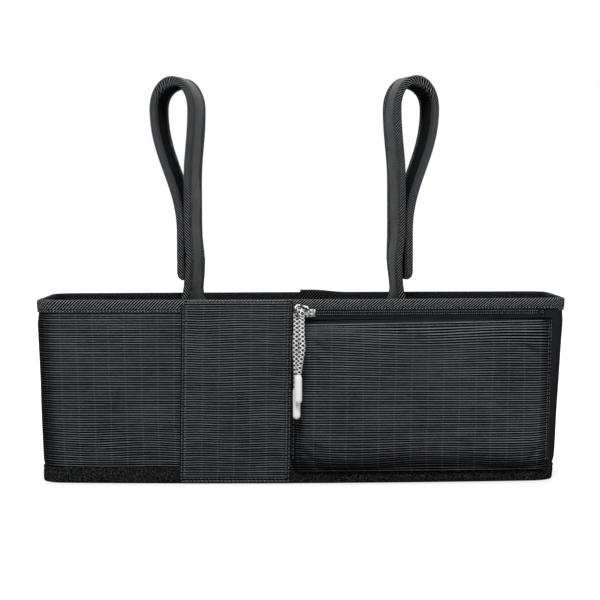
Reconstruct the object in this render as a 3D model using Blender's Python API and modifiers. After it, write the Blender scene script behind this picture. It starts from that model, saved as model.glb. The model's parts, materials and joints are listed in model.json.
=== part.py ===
"""Stroller organizer: a padded open bag with a zipped front pocket and two padded strap loops.

Metres, +Z up. The front faces -Y. The origin is the middle of the base, on the surface it stands on.
"""
import math

import bmesh
import bpy
from mathutils import Vector

# Body, outside the walls
RIM_LENGTH = 0.370
BASE_LENGTH = 0.357
RIM_DEPTH = 0.118
BASE_DEPTH = 0.112
BODY_HEIGHT = 0.1285
CORNER_RADIUS = 0.016
FRONT_BOW = 0.008
REAR_BOW = 0.003
WALL_THICKNESS = 0.004
BASE_CLOTH = 0.0015
BOARD_THICKNESS = 0.002
GAP = 0.0003
CENTRE_Y = (FRONT_BOW - REAR_BOW) / 2

# Felt band round the foot and twill tape round the rim
BAND_LIFT = 0.0003
BAND_HEIGHT = 0.0105
BAND_THICKNESS = 0.0015
RIM_TAPE_DROP = 0.0076
RIM_TAPE_THICKNESS = 0.0015
RIM_LAP_LENGTH = 0.014

# Flat panel on the front
PANEL_LEFT = -0.083
PANEL_RIGHT = -0.0055
PANEL_CLOTH = 0.0018
PANEL_CORNER = 0.003
PANEL_MARGIN = 0.0006

# Zipped pocket
POCKET_INSET = 0.0095
POCKET_BOTTOM = 0.0080
POCKET_SEAM_DROP = 0.0165
POCKET_TOP_DROP = 0.0126
POCKET_CLOTH = 0.0012
POCKET_PUFF = 0.0085
POCKET_HEM = 0.0016
RISE_LEFT = 0.0085
RISE_RIGHT = 0.0140
RISE_BOTTOM = 0.0110
RISE_TOP = 0.0150

# Zip, straight in plan: its middle is a drop below the rim, and its tapes end inset from the rim's end
ZIP_DROP = 0.0094
ZIP_LAP = 0.0010
ZIP_INSET = 0.0160
TAPE_THICKNESS = 0.0007
TAPE_PARTING = 0.0003
LOWER_TAPE_HEIGHT = 0.0040
CHAIN_LEAD = 0.0065
CHAIN_TAIL = 0.0020
CHAIN_HEIGHT = 0.0026
CHAIN_THICKNESS = 0.0012
TOOTH_PITCH = 0.0020
TOOTH_DEPTH = 0.0006
STOP_LENGTH = 0.0015

# Slider, its wire ring and the cord through the ring
SLIDER_LEAD = 0.0040
SLIDER_LENGTH = 0.0090
SLIDER_HEIGHT = 0.0054
SLIDER_PLATE = 0.0012
SLIDER_LIP = 0.0006
BRIDGE_SPAN = 0.0070
BRIDGE_WIRE = 0.0012
BRIDGE_ROOM = 0.0009
RING_ASIDE = 0.0010
RING_LENGTH = 0.0120
RING_HEIGHT = 0.0064
RING_WIRE = 0.0012
RING_TURN = math.radians(35)
RING_TILT = math.radians(12)
RING_HANG = 0.0022
CORD_DIAMETER = 0.0042
CORD_SPOT = 0.0078
TIP_DIAMETER = 0.0052
SHORT_TIP_LENGTH = 0.020
LONG_TIP_LENGTH = 0.022

# Straps: a padded band with taped edges, looped and held to itself by hook and loop tape
STRAP_SPACING = 0.151
STRAP_SHIFT = -0.003
STRAP_WIDTH = 0.036
STRAP_THICKNESS = 0.0050
STRAP_YAW = math.radians(13)
STRAP_FOOT_Z = 0.058
STRAP_FLAT_Z = 0.080
STRAP_TURNED_Z = 0.134
STRAP_PART_Z = 0.210
LOOP_WIDE_Z = 0.265
LOOP_TOP_Z = 0.289
LOOP_BULGE = 0.0032
LOOP_REACH = 0.0256
LOOP_CROWN = 0.0112
STRAP_MEET_Z = 0.174
STRAP_END_Z = 0.139
EDGE_TAPE = 0.0005
EDGE_COVER = 0.0050
EDGE_ROUND = 0.0012
FASTENER_TAPE = 0.0005
HOOK_LENGTH = 0.032

# Cup dividers inside
DIVIDER_CLEAR = 0.0095
DIVIDER_TOP_Z = 0.100
DIVIDER_THICKNESS = 0.0030
DIVIDER_BOW = 0.006
DIVIDER_TAPE = 0.0010
DIVIDER_TAPE_DROP = 0.008

# Places that follow from the sizes above
POCKET_RIGHT = RIM_LENGTH / 2 - POCKET_INSET
POCKET_SEAM_Z = BODY_HEIGHT - POCKET_SEAM_DROP
POCKET_TOP = BODY_HEIGHT - POCKET_TOP_DROP
ZIP_Z = BODY_HEIGHT - ZIP_DROP
ZIP_START = PANEL_RIGHT + ZIP_LAP
ZIP_END = RIM_LENGTH / 2 - ZIP_INSET
CHAIN_START = ZIP_START + CHAIN_LEAD
CHAIN_END = ZIP_END - CHAIN_TAIL
SLIDER_X = CHAIN_START + SLIDER_LEAD
DIVIDER_X = (STRAP_SPACING + STRAP_WIDTH) / 2 + DIVIDER_CLEAR

# How finely round stretches are divided
FRONT_STEPS = 14
CORNER_STEPS = 5
SIDE_STEPS = 2
TWIST_STEPS = 18

COLLECTION = "stroller_organizer"


def clear_scene():
    for item in list(bpy.data.objects):
        bpy.data.objects.remove(item, do_unlink=True)


def new_collection(name):
    collection = bpy.data.collections.new(name)
    bpy.context.scene.collection.children.link(collection)
    return collection


def material(name, colour, roughness, metallic=0.0):
    """A plain finish, made once for each name."""
    found = bpy.data.materials.get(name)
    if found:
        return found
    finish = bpy.data.materials.new(name)
    finish.use_nodes = True
    shader = finish.node_tree.nodes["Principled BSDF"]
    shader.inputs["Base Color"].default_value = (*colour, 1.0)
    shader.inputs["Roughness"].default_value = roughness
    shader.inputs["Metallic"].default_value = metallic
    return finish


def ribbed_cloth():
    return material("ribbed_cloth", (0.035, 0.035, 0.039), 0.55)


def smooth_cloth():
    return material("smooth_cloth", (0.020, 0.020, 0.022), 0.80)


def felt():
    return material("felt", (0.010, 0.010, 0.011), 0.95)


def twill_tape():
    return material("twill_tape", (0.022, 0.022, 0.024), 0.70)


def strap_cloth():
    return material("strap_cloth", (0.070, 0.070, 0.075), 0.60)


def fastener_cloth():
    return material("fastener_cloth", (0.012, 0.012, 0.013), 0.95)


def lining_cloth():
    return material("lining_cloth", (0.030, 0.030, 0.033), 0.70)


def cord_braid():
    return material("cord_braid", (0.45, 0.45, 0.45), 0.75)


def board():
    return material("board", (0.05, 0.05, 0.05), 0.60)


def white_plastic():
    return material("white_plastic", (0.88, 0.88, 0.87), 0.40)


def black_nylon():
    return material("black_nylon", (0.015, 0.015, 0.016), 0.45)


def dark_metal():
    return material("dark_metal", (0.10, 0.10, 0.10), 0.30, 1.0)


def steel():
    return material("steel", (0.75, 0.75, 0.75), 0.22, 1.0)


def add_object(name, mesh, finish, smooth_angle=None):
    piece = bpy.data.objects.new(name, mesh)
    mesh.materials.clear()
    mesh.materials.append(finish)
    if smooth_angle is not None:
        mesh.shade_smooth()
        mesh.set_sharp_from_angle(angle=smooth_angle)
    bpy.data.collections[COLLECTION].objects.link(piece)
    return piece


def loft(name, sections, finish, closed=False):
    """Solid through sections of equal point counts, closed on itself or capped at both ends."""
    shell = bmesh.new()
    rows = [[shell.verts.new(point) for point in section] for section in sections]
    count = len(rows[0])
    pairs = list(zip(rows, rows[1:]))
    if closed:
        pairs.append((rows[-1], rows[0]))
    else:
        shell.faces.new(rows[0])
        shell.faces.new(list(reversed(rows[-1])))
    for first, second in pairs:
        for index in range(count):
            following = (index + 1) % count
            shell.faces.new((first[index], second[index], second[following], first[following]))
    bmesh.ops.recalc_face_normals(shell, faces=shell.faces)
    mesh = bpy.data.meshes.new(name)
    shell.to_mesh(mesh)
    shell.free()
    return add_object(name, mesh, finish, math.radians(35))


def box_mesh(name, size, bevel=0.0):
    """Mesh of a box centred on its origin, its edges rounded by bevel."""
    shell = bmesh.new()
    bmesh.ops.create_cube(shell, size=1.0)
    bmesh.ops.scale(shell, vec=size, verts=shell.verts)
    if bevel:
        bmesh.ops.bevel(shell, geom=shell.edges[:], offset=bevel, segments=2, profile=0.5, affect="EDGES")
    mesh = bpy.data.meshes.new(name)
    shell.to_mesh(mesh)
    shell.free()
    return mesh


def half_sizes(z):
    """Half of the body's length and depth at height z, outside the walls."""
    share = z / BODY_HEIGHT
    length = BASE_LENGTH + (RIM_LENGTH - BASE_LENGTH) * share
    depth = BASE_DEPTH + (RIM_DEPTH - BASE_DEPTH) * share
    return length / 2, depth / 2


def bow_arc(reach, bow):
    """Arm from a bowed side's centre of curvature to the corner centres, and half its turn."""
    arm = (reach ** 2 + bow ** 2) / (2 * bow)
    return arm, math.asin(reach / arm)


def outline_point(place, z, out):
    """Point of the plan outline at height z, a distance out from the walls' outer face.

    place runs from 0 to 8 round the plan, seen from above against the clock: front, corner, right
    side, corner, rear, corner, left side, corner.
    """
    half_length, half_depth = half_sizes(z)
    reach_x = half_length - CORNER_RADIUS
    reach_y = half_depth - CORNER_RADIUS
    front_arm, front_turn = bow_arc(reach_x, FRONT_BOW)
    rear_arm, rear_turn = bow_arc(reach_x, REAR_BOW)
    quarter = math.pi / 2
    side = int(place % 8)
    share = place % 8 - side
    if side == 2:
        return Vector((half_length + out, reach_y * (2 * share - 1) + CENTRE_Y, z))
    if side == 6:
        return Vector((-half_length - out, reach_y * (1 - 2 * share) + CENTRE_Y, z))
    arcs = {
        0: ((0, front_arm - reach_y - FRONT_BOW), front_arm, 3 * quarter - front_turn, 3 * quarter + front_turn),
        1: ((reach_x, -reach_y), 0, 3 * quarter + front_turn, 4 * quarter),
        3: ((reach_x, reach_y), 0, 0, quarter - rear_turn),
        4: ((0, reach_y + REAR_BOW - rear_arm), rear_arm, quarter - rear_turn, quarter + rear_turn),
        5: ((-reach_x, reach_y), 0, quarter + rear_turn, 2 * quarter),
        7: ((-reach_x, -reach_y), 0, 2 * quarter, 3 * quarter - front_turn),
    }
    centre, arm, start, end = arcs[side]
    radius = arm + CORNER_RADIUS + out
    angle = start + (end - start) * share
    return Vector((centre[0] + radius * math.cos(angle), centre[1] + CENTRE_Y + radius * math.sin(angle), z))


def places(start, end):
    """Places from start to end, with every division of the outline between them."""
    steps = (FRONT_STEPS, CORNER_STEPS, SIDE_STEPS, CORNER_STEPS) * 2
    inner = []
    for turn in range(int(start), int(end) + 1):
        count = steps[turn % 8]
        inner.extend(turn + step / count for step in range(count))
    margin = 1e-3
    return [start] + [place for place in inner if start + margin < place < end - margin] + [end]


def front_point(x, z, out):
    """Point at a given x on the front, or on the corners beside it."""
    half_length, half_depth = half_sizes(z)
    reach_x = half_length - CORNER_RADIUS
    reach_y = half_depth - CORNER_RADIUS
    arm, turn = bow_arc(reach_x, FRONT_BOW)
    radius = arm + CORNER_RADIUS + out
    if abs(x) <= radius * math.sin(turn):
        y = arm - reach_y - FRONT_BOW - math.sqrt(radius ** 2 - x ** 2)
    else:
        aside = abs(x) - reach_x
        y = -reach_y - math.sqrt(max(0.0, (CORNER_RADIUS + out) ** 2 - aside ** 2))
    return Vector((x, y + CENTRE_Y, z))


def rear_y(x, z, out):
    """How far back the rear wall's face lies at x, a distance out from its outer face."""
    half_length, half_depth = half_sizes(z)
    reach_x = half_length - CORNER_RADIUS
    arm, _ = bow_arc(reach_x, REAR_BOW)
    radius = arm + CORNER_RADIUS + out
    return half_depth - CORNER_RADIUS + REAR_BOW - arm + math.sqrt(radius ** 2 - x ** 2) + CENTRE_Y


def ring_piece(name, start, end, profile, finish, closed=False):
    """Profile of (out, z) points carried along the outline between two places."""
    stops = places(start, end)
    if closed:
        stops = stops[:-1]
    sections = [[outline_point(place, z, out) for out, z in profile] for place in stops]
    return loft(name, sections, finish, closed)


def rectangle(inner, outer, low, high):
    return [(inner, low), (outer, low), (outer, high), (inner, high)]


FLOOR_Z = BASE_CLOTH + GAP
WALL_TOP_Z = BODY_HEIGHT - RIM_TAPE_THICKNESS - GAP


def build_walls():
    """Four padded walls, sewn to each other where the corners start."""
    front_seam = GAP / 2 / RIM_LENGTH
    corner_seam = GAP / 2 / CORNER_RADIUS
    profile = rectangle(-WALL_THICKNESS, 0.0, FLOOR_Z, WALL_TOP_Z)
    ring_piece("front_wall", 0 + front_seam, 1 - front_seam, profile, ribbed_cloth())
    ring_piece("right_side_wall", 1 + corner_seam, 4 - corner_seam, profile, smooth_cloth())
    ring_piece("rear_wall", 4 + front_seam, 5 - front_seam, profile, smooth_cloth())
    ring_piece("left_side_wall", 5 + corner_seam, 8 - corner_seam, profile, smooth_cloth())


def plate(name, low, high, out, finish):
    """Flat sheet of the outline's shape between two heights."""
    stops = places(0, 8)[:-1]
    sections = [[outline_point(place, z, out) for place in stops] for z in (low, high)]
    return loft(name, sections, finish)


def build_base():
    plate("base_panel", 0.0, BASE_CLOTH, 0.0, smooth_cloth())
    plate("base_board", FLOOR_Z, FLOOR_Z + BOARD_THICKNESS, -WALL_THICKNESS - GAP, board())
    band = rectangle(GAP, GAP + BAND_THICKNESS, BAND_LIFT, BAND_HEIGHT)
    ring_piece("base_band", 0, 8, band, felt(), closed=True)


def tape_profile(lift):
    """Folded tape over the rim, drawn as (out, z), and moved off the rim by lift."""
    thick = RIM_TAPE_THICKNESS
    drop_z = BODY_HEIGHT - RIM_TAPE_DROP
    face = GAP + lift
    back = -WALL_THICKNESS - GAP - lift
    top = WALL_TOP_Z + GAP + lift
    soft = thick * 0.7
    return [
        (face, drop_z), (face + thick, drop_z), (face + thick, top + thick - soft),
        (face + thick - soft, top + thick), (back - thick + soft, top + thick),
        (back - thick, top + thick - soft), (back - thick, drop_z), (back, drop_z), (back, top), (face, top),
    ]


def build_rim_tape():
    """One tape round the rim, whose end laps over its start at the middle of the rear."""
    lap = RIM_LAP_LENGTH / RIM_LENGTH
    lift = RIM_TAPE_THICKNESS + GAP
    start = 4.5
    end = start + 8
    stations = [(place, 0.0) for place in places(start, end - lap / 4)]
    stations += [(end, lift), (end + lap, lift)]
    sections = [[outline_point(place, z, out) for out, z in tape_profile(lift)] for place, lift in stations]
    loft("rim_tape", sections, twill_tape())


def build_centre_panel():
    """Flat panel over the rim tape, the wall and the felt band, with small round corners."""
    seat_low = GAP + BAND_THICKNESS + GAP
    seat_high = GAP + RIM_TAPE_THICKNESS + GAP
    face = max(seat_low, seat_high) + PANEL_CLOTH
    low = PANEL_MARGIN
    high = BODY_HEIGHT - PANEL_MARGIN
    tape_z = BODY_HEIGHT - RIM_TAPE_DROP - GAP
    band_z = BAND_HEIGHT + GAP
    width = PANEL_RIGHT - PANEL_LEFT
    corner = [0.0, PANEL_CORNER * 0.3, PANEL_CORNER]
    middle = [width * share for share in (0.25, 0.5, 0.75)]
    inward = corner + middle + [width - step for step in reversed(corner)]
    sections = []
    for step in inward:
        near = max(0.0, PANEL_CORNER - min(step, width - step))
        inset = PANEL_CORNER - math.sqrt(PANEL_CORNER ** 2 - near ** 2)
        outline = [
            (seat_low, low + inset), (face, low + inset), (face, high - inset), (seat_high, high - inset),
            (seat_high, tape_z), (GAP, tape_z), (GAP, band_z), (seat_low, band_z),
        ]
        sections.append([front_point(PANEL_LEFT + step, z, out) for out, z in outline])
    loft("centre_panel", sections, ribbed_cloth())


def zip_frame():
    """Start of the zip's back plane, its direction along the bag and its direction outward."""
    top_z = BODY_HEIGHT - RIM_TAPE_DROP
    arm, _ = bow_arc(half_sizes(top_z)[0] - CORNER_RADIUS, FRONT_BOW)
    stand_off = GAP + (ZIP_END - ZIP_START) ** 2 / (8 * (arm + CORNER_RADIUS))
    start = front_point(ZIP_START, top_z, stand_off)
    end = front_point(ZIP_END, top_z, stand_off)
    along = (end - start).normalized()
    outward = Vector((along.y, -along.x, 0.0))
    return Vector((start.x, start.y, 0.0)), along, outward


def zip_point(x, z, out):
    """Point above the zip's back plane: x along the bag, z its height, out its distance."""
    start, along, outward = zip_frame()
    travel = (x - start.x) / along.x
    return start + along * travel + outward * out + Vector((0.0, 0.0, z))


def zip_box(name, x_range, z_range, out_range, finish, bevel=0.0):
    """Box that lies along the zip."""
    _, along, _ = zip_frame()
    size = ((x_range[1] - x_range[0]) / along.x, out_range[1] - out_range[0], z_range[1] - z_range[0])
    piece = add_object(name, box_mesh(name, size, bevel), finish)
    piece.location = zip_point(sum(x_range) / 2, sum(z_range) / 2, sum(out_range) / 2)
    piece.rotation_euler.z = math.atan2(along.y, along.x)
    return piece


CHAIN_BACK = TAPE_THICKNESS + GAP
CHAIN_FACE = CHAIN_BACK + CHAIN_THICKNESS
PLATE_BACK = CHAIN_FACE + GAP
PLATE_FACE = PLATE_BACK + SLIDER_PLATE
TAPE_TOP_Z = BODY_HEIGHT - RIM_TAPE_DROP - GAP


def build_zip():
    """Two tapes, the closed chain of teeth over their edges, and a stop at each end."""
    tape = (0.0, TAPE_THICKNESS)
    span = (ZIP_START, ZIP_END)
    zip_box("zip_tape_upper", span, (ZIP_Z + TAPE_PARTING / 2, TAPE_TOP_Z), tape, smooth_cloth())
    lower_z = (ZIP_Z - LOWER_TAPE_HEIGHT, ZIP_Z - TAPE_PARTING / 2)
    zip_box("zip_tape_lower", span, lower_z, tape, smooth_cloth())
    low = ZIP_Z - CHAIN_HEIGHT / 2
    high = ZIP_Z + CHAIN_HEIGHT / 2
    count = int((CHAIN_END - CHAIN_START) / TOOTH_PITCH)
    comb = [(CHAIN_START, CHAIN_BACK)]
    for tooth in range(count):
        x = CHAIN_START + tooth * TOOTH_PITCH
        comb.append((x, CHAIN_FACE))
        comb.append((x + TOOTH_PITCH * 0.55, CHAIN_FACE))
        comb.append((x + TOOTH_PITCH * 0.6, CHAIN_FACE - TOOTH_DEPTH))
        comb.append((x + TOOTH_PITCH * 0.95, CHAIN_FACE - TOOTH_DEPTH))
    comb.append((CHAIN_START + count * TOOTH_PITCH, CHAIN_BACK))
    loft("zip_teeth", [[zip_point(x, z, out) for x, out in comb] for z in (low, high)], black_nylon())
    stops = {"zip_stop_left": CHAIN_START - GAP - STOP_LENGTH, "zip_stop_right": CHAIN_END + GAP}
    for name, x in stops.items():
        zip_box(name, (x, x + STOP_LENGTH), (low, high), (CHAIN_BACK, CHAIN_FACE), dark_metal(), 0.0002)


def rise(distance, width):
    """How far the pocket has risen at a distance from its edge, from 0 to 1."""
    share = min(1.0, max(0.0, distance) / width)
    return math.sin(share * math.pi / 2)


def pocket_seat(x, z):
    """Where the pocket's edge lies: on the wall, on the felt band or on the lower zip tape."""
    if z < BAND_HEIGHT + GAP:
        return GAP + BAND_THICKNESS + GAP
    tape_low = ZIP_Z - LOWER_TAPE_HEIGHT - GAP
    if z > tape_low:
        wall = front_point(x, z, 0.0)
        tape = zip_point(min(x, ZIP_END), z, TAPE_THICKNESS + GAP)
        return max(GAP, wall.y - tape.y)
    return GAP


def pocket_rise(x, z):
    """How far the pocket stands proud of its edge."""
    left = rise(x - (PANEL_RIGHT + GAP) - POCKET_HEM, RISE_LEFT)
    right = rise(POCKET_RIGHT - x - POCKET_HEM, RISE_RIGHT)
    bottom = rise(z - POCKET_BOTTOM - POCKET_HEM, RISE_BOTTOM)
    top = rise(POCKET_TOP - z - POCKET_HEM / 2, RISE_TOP)
    return POCKET_PUFF * left * right * bottom * top


def pocket_cloth_back(x, z):
    """Back of the pocket's cloth: its thickness behind the outer face, measured square to it."""
    step = 0.0005
    slope_x = (pocket_rise(x + step, z) - pocket_rise(x - step, z)) / (2 * step)
    slope_z = (pocket_rise(x, z + step) - pocket_rise(x, z - step)) / (2 * step)
    depth = POCKET_CLOTH * math.sqrt(1 + slope_x ** 2 + slope_z ** 2)
    seat = pocket_seat(x, z)
    return max(seat, seat + POCKET_CLOTH + pocket_rise(x, z) - depth)


def pocket_face(x, z):
    return pocket_seat(x, z) + POCKET_CLOTH + pocket_rise(x, z)


def pocket_piece(name, columns, rows, finish):
    """Sheet of pocket cloth between two surfaces, over a grid of x columns and z rows."""
    sections = []
    for x in columns:
        face = [front_point(x, z, pocket_face(x, z)) for z in rows]
        back = [front_point(x, z, pocket_cloth_back(x, z)) for z in reversed(rows)]
        sections.append(face + back)
    return sheet_loft(name, sections, len(rows), finish)


def sheet_loft(name, sections, rows, finish):
    """Loft whose end caps are strips of quads between the face and the back."""
    shell = bmesh.new()
    grid = [[shell.verts.new(point) for point in section] for section in sections]
    count = 2 * rows
    for first, second in zip(grid, grid[1:]):
        for index in range(count):
            following = (index + 1) % count
            shell.faces.new((first[index], second[index], second[following], first[following]))
    for end in (grid[0], grid[-1]):
        for row in range(rows - 1):
            shell.faces.new((end[row], end[row + 1], end[count - 2 - row], end[count - 1 - row]))
    bmesh.ops.recalc_face_normals(shell, faces=shell.faces)
    mesh = bpy.data.meshes.new(name)
    shell.to_mesh(mesh)
    shell.free()
    return add_object(name, mesh, finish, math.radians(40))


def spread(start, end, near, far, count):
    """Divisions from start to end: some close to each end over near and far, and count between."""
    close = (0.0, 0.18, 0.4, 0.7, 1.0)
    first = [start + near * share for share in close]
    last = [end - far * share for share in reversed(close)]
    inner = [first[-1] + (last[0] - first[-1]) * step / count for step in range(1, count)]
    return first + inner + last


def build_pocket():
    """Puffed panel below the seam and a smooth band from the seam up to the zip."""
    left = PANEL_RIGHT + GAP
    columns = spread(left, POCKET_RIGHT, POCKET_HEM + RISE_LEFT, POCKET_HEM + RISE_RIGHT, 9)
    foot = BAND_HEIGHT + GAP
    bottom_end = POCKET_BOTTOM + POCKET_HEM + RISE_BOTTOM
    low_rows = [POCKET_BOTTOM, foot - GAP, foot + GAP]
    low_rows += [foot + GAP + (bottom_end - foot - GAP) * share for share in (0.3, 0.65, 1.0)]
    top_start = POCKET_TOP - RISE_TOP
    middle = [bottom_end + (top_start - bottom_end) * step / 4 for step in range(1, 5)]
    high = POCKET_SEAM_Z - GAP / 2
    last = [top_start + (high - top_start) * share for share in (0.35, 0.7, 1.0)]
    pocket_piece("pocket_panel", columns, low_rows + middle + last, ribbed_cloth())
    seam = POCKET_SEAM_Z + GAP / 2
    tape_low = ZIP_Z - LOWER_TAPE_HEIGHT - GAP
    band_rows = [seam, (seam + tape_low) / 2, tape_low - GAP, tape_low + GAP, POCKET_TOP]
    pocket_piece("pocket_top_band", columns, band_rows, smooth_cloth())


def closed_wire(name, points, diameter, finish):
    """Round wire through points that close on themselves."""
    curve = bpy.data.curves.new(name, "CURVE")
    curve.dimensions = "3D"
    curve.bevel_depth = diameter / 2
    curve.bevel_resolution = 1
    spline = curve.splines.new("POLY")
    spline.points.add(len(points) - 1)
    for target, point in zip(spline.points, points):
        target.co = (*point, 1.0)
    spline.use_cyclic_u = True
    curve.materials.append(finish)
    piece = bpy.data.objects.new(name, curve)
    bpy.data.collections[COLLECTION].objects.link(piece)
    return piece


def tube(name, points, diameter, finish):
    """Round cord through points, with closed ends."""
    piece = closed_wire(name, points, diameter, finish)
    piece.data.splines[0].use_cyclic_u = False
    piece.data.use_fill_caps = True
    piece.data.bevel_resolution = 2
    return piece


def smooth_path(points, spacing):
    """Points a spacing apart on the smooth curve through the route's own points."""
    padded = [points[0] * 2 - points[1]] + points + [points[-1] * 2 - points[-2]]
    path = []
    for index in range(1, len(padded) - 2):
        before, first, second, after = padded[index - 1:index + 3]
        count = max(1, round((second - first).length / spacing))
        for step in range(count):
            t = step / count
            path.append(0.5 * (2 * first + (second - before) * t
                               + (2 * before - 5 * first + 4 * second - after) * t ** 2
                               + (3 * first - before - 3 * second + after) * t ** 3))
    return path + [points[-1]]


RING_LEAN = RING_HEIGHT * math.sin(RING_TILT) * math.sin(RING_TURN)
RING_OUT = PLATE_FACE + GAP + RING_WIRE / 2 + RING_LEAN
RING_LOW_Z = ZIP_Z - RING_HANG


def union(target, tools):
    """Joins solids into the target, and removes them."""
    for tool in tools:
        modifier = target.modifiers.new("join_" + tool.name, "BOOLEAN")
        modifier.operation = "UNION"
        modifier.solver = "EXACT"
        modifier.object = tool
    view = bpy.context.evaluated_depsgraph_get()
    merged = bpy.data.meshes.new_from_object(target.evaluated_get(view))
    target.modifiers.clear()
    target.data = merged
    for tool in tools:
        bpy.data.objects.remove(tool, do_unlink=True)


def build_slider():
    """Slider plate with a lip above and below the chain and a bridge that holds the ring."""
    low = ZIP_Z - SLIDER_HEIGHT / 2
    high = ZIP_Z + SLIDER_HEIGHT / 2
    span = (SLIDER_X - SLIDER_LENGTH / 2, SLIDER_X + SLIDER_LENGTH / 2)
    body = zip_box("zip_slider", span, (low, high), (PLATE_BACK, PLATE_FACE), dark_metal(), 0.0004)
    lip_back = RIM_TAPE_THICKNESS + GAP
    inset = (span[0] + 0.0008, span[1] - 0.0008)
    lip_out = (lip_back, PLATE_BACK + SLIDER_PLATE / 2)
    lip_gap = CHAIN_HEIGHT / 2 + GAP
    lips = [
        zip_box("lip_low", inset, (ZIP_Z - lip_gap - SLIDER_LIP, ZIP_Z - lip_gap), lip_out, dark_metal()),
        zip_box("lip_high", inset, (ZIP_Z + lip_gap, ZIP_Z + lip_gap + SLIDER_LIP), lip_out, dark_metal()),
    ]
    foot = PLATE_FACE - SLIDER_PLATE / 2
    crest = PLATE_FACE + GAP + RING_WIRE + BRIDGE_ROOM + BRIDGE_WIRE
    half = BRIDGE_SPAN / 2
    wide = BRIDGE_WIRE / 2
    arch = [(-half, foot), (-half, crest - 0.001), (-half + 0.001, crest), (half - 0.001, crest),
            (half, crest - 0.001), (half, foot), (half - BRIDGE_WIRE, foot), (half - BRIDGE_WIRE, crest - BRIDGE_WIRE),
            (-half + BRIDGE_WIRE, crest - BRIDGE_WIRE), (-half + BRIDGE_WIRE, foot)]
    sections = [[zip_point(SLIDER_X + x, ZIP_Z + side * wide, out) for x, out in arch] for side in (-1, 1)]
    bridge = loft("bridge", sections, dark_metal())
    union(body, lips + [bridge])


def ring_point(distance, height):
    """Point of the ring's plane: along its lower bar from the bridge, and square to the bar."""
    _, along, outward = zip_frame()
    pivot = zip_point(SLIDER_X - RING_ASIDE, RING_LOW_Z, RING_OUT)
    level = outward * math.sin(RING_TURN) - along * math.cos(RING_TURN)
    upright = Vector((0.0, 0.0, 1.0))
    bar = level * math.cos(RING_TILT) + upright * math.sin(RING_TILT)
    across = upright * math.cos(RING_TILT) - level * math.sin(RING_TILT)
    return pivot + bar * distance + across * height


def ring_normal():
    """Direction square to the ring's plane, towards the front."""
    _, along, outward = zip_frame()
    return along * math.sin(RING_TURN) + outward * math.cos(RING_TURN)


def build_ring():
    """Long wire ring with round ends, through the bridge at one end."""
    radius = RING_HEIGHT / 2 * 0.8
    far = RING_LENGTH - radius
    high = RING_HEIGHT - radius
    corners = [(radius, radius, 180), (far, radius, 270), (far, high, 0), (radius, high, 90)]
    points = []
    for distance, height, start in corners:
        for step in range(5):
            angle = math.radians(start + 90 * step / 4)
            points.append(ring_point(distance + radius * math.cos(angle), height + radius * math.sin(angle)))
    closed_wire("pull_ring", points, RING_WIRE, steel())


def bight_point(angle, radius):
    """Point round the ring's lower bar: angle 0 is to the front, 90 degrees is on top."""
    bar = ring_point(CORD_SPOT, 0.0)
    return bar + ring_normal() * radius * math.cos(angle) + Vector((0.0, 0.0, radius * math.sin(angle)))


CORD_TURN = RING_WIRE / 2 + GAP + CORD_DIAMETER / 2
BIGHT_DROP = 0.0006

# Route of each leg of the cord below the ring: metres across the bag, forward of the bight and up
SHORT_LEG = [(-0.0002, 0.0006, -0.004), (-0.0002, 0.0022, -0.009), (0.0000, 0.0044, -0.015),
             (0.0002, 0.0058, -0.022), (-0.0012, 0.0062, -0.031), (-0.0026, 0.0062, -0.0395)]
LONG_LEG = [(0.0000, 0.0008, -0.004), (-0.0001, 0.0024, -0.009), (-0.0004, 0.0042, -0.015),
            (-0.0006, 0.0052, -0.022), (-0.0004, 0.0054, -0.030), (0.0000, 0.0054, -0.039),
            (-0.0001, 0.0054, -0.0487)]


def leg_path(side, route):
    """Smooth route of one leg from the end of the bight."""
    angle = 0.0 if side > 0 else math.pi
    start = bight_point(angle, CORD_TURN) - Vector((0.0, 0.0, BIGHT_DROP + GAP))
    turns = [start + Vector((across, -forward, up)) for across, forward, up in route]
    return smooth_path([start, start - Vector((0.0, 0.0, 0.002))] + turns, CORD_DIAMETER * 0.6)


def build_tip(name, top, length):
    """Moulded tip over the cord's end: a long bead with a round foot and a narrowed collar."""
    half = TIP_DIAMETER / 2
    profile = [(0.0, 0.0), (half * 0.80, 0.0), (half, -length * 0.12), (half, -length + half),
               (half * 0.85, -length + half * 0.48), (half * 0.5, -length + half * 0.13), (0.0, -length)]
    mesh = bpy.data.meshes.new(name)
    shell = bmesh.new()
    verts = [shell.verts.new((radius, 0.0, z)) for radius, z in profile]
    for first, second in zip(verts, verts[1:]):
        shell.edges.new((first, second))
    shell.to_mesh(mesh)
    shell.free()
    tip = add_object(name, mesh, white_plastic())
    turn = tip.modifiers.new("turn", "SCREW")
    turn.axis = "Z"
    turn.steps = 16
    turn.render_steps = 16
    turn.use_merge_vertices = True
    turn.merge_threshold = 0.00005
    tip.location = top - Vector((0.0, 0.0, GAP))
    return tip


def build_cord():
    """The cord's bight over the ring, its two legs and the tip on each."""
    turns = [bight_point(math.pi * step / 8, CORD_TURN) for step in range(9)]
    drop = Vector((0.0, 0.0, BIGHT_DROP))
    tube("pull_cord_bight", [turns[0] - drop] + turns + [turns[-1] - drop], CORD_DIAMETER, cord_braid())
    short = leg_path(1, SHORT_LEG)
    tube("pull_cord_short_leg", short, CORD_DIAMETER, cord_braid())
    build_tip("cord_tip_short", short[-1], SHORT_TIP_LENGTH)
    long = leg_path(-1, LONG_LEG)
    tube("pull_cord_long_leg", long, CORD_DIAMETER, cord_braid())
    build_tip("cord_tip_long", long[-1], LONG_TIP_LENGTH)


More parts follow.
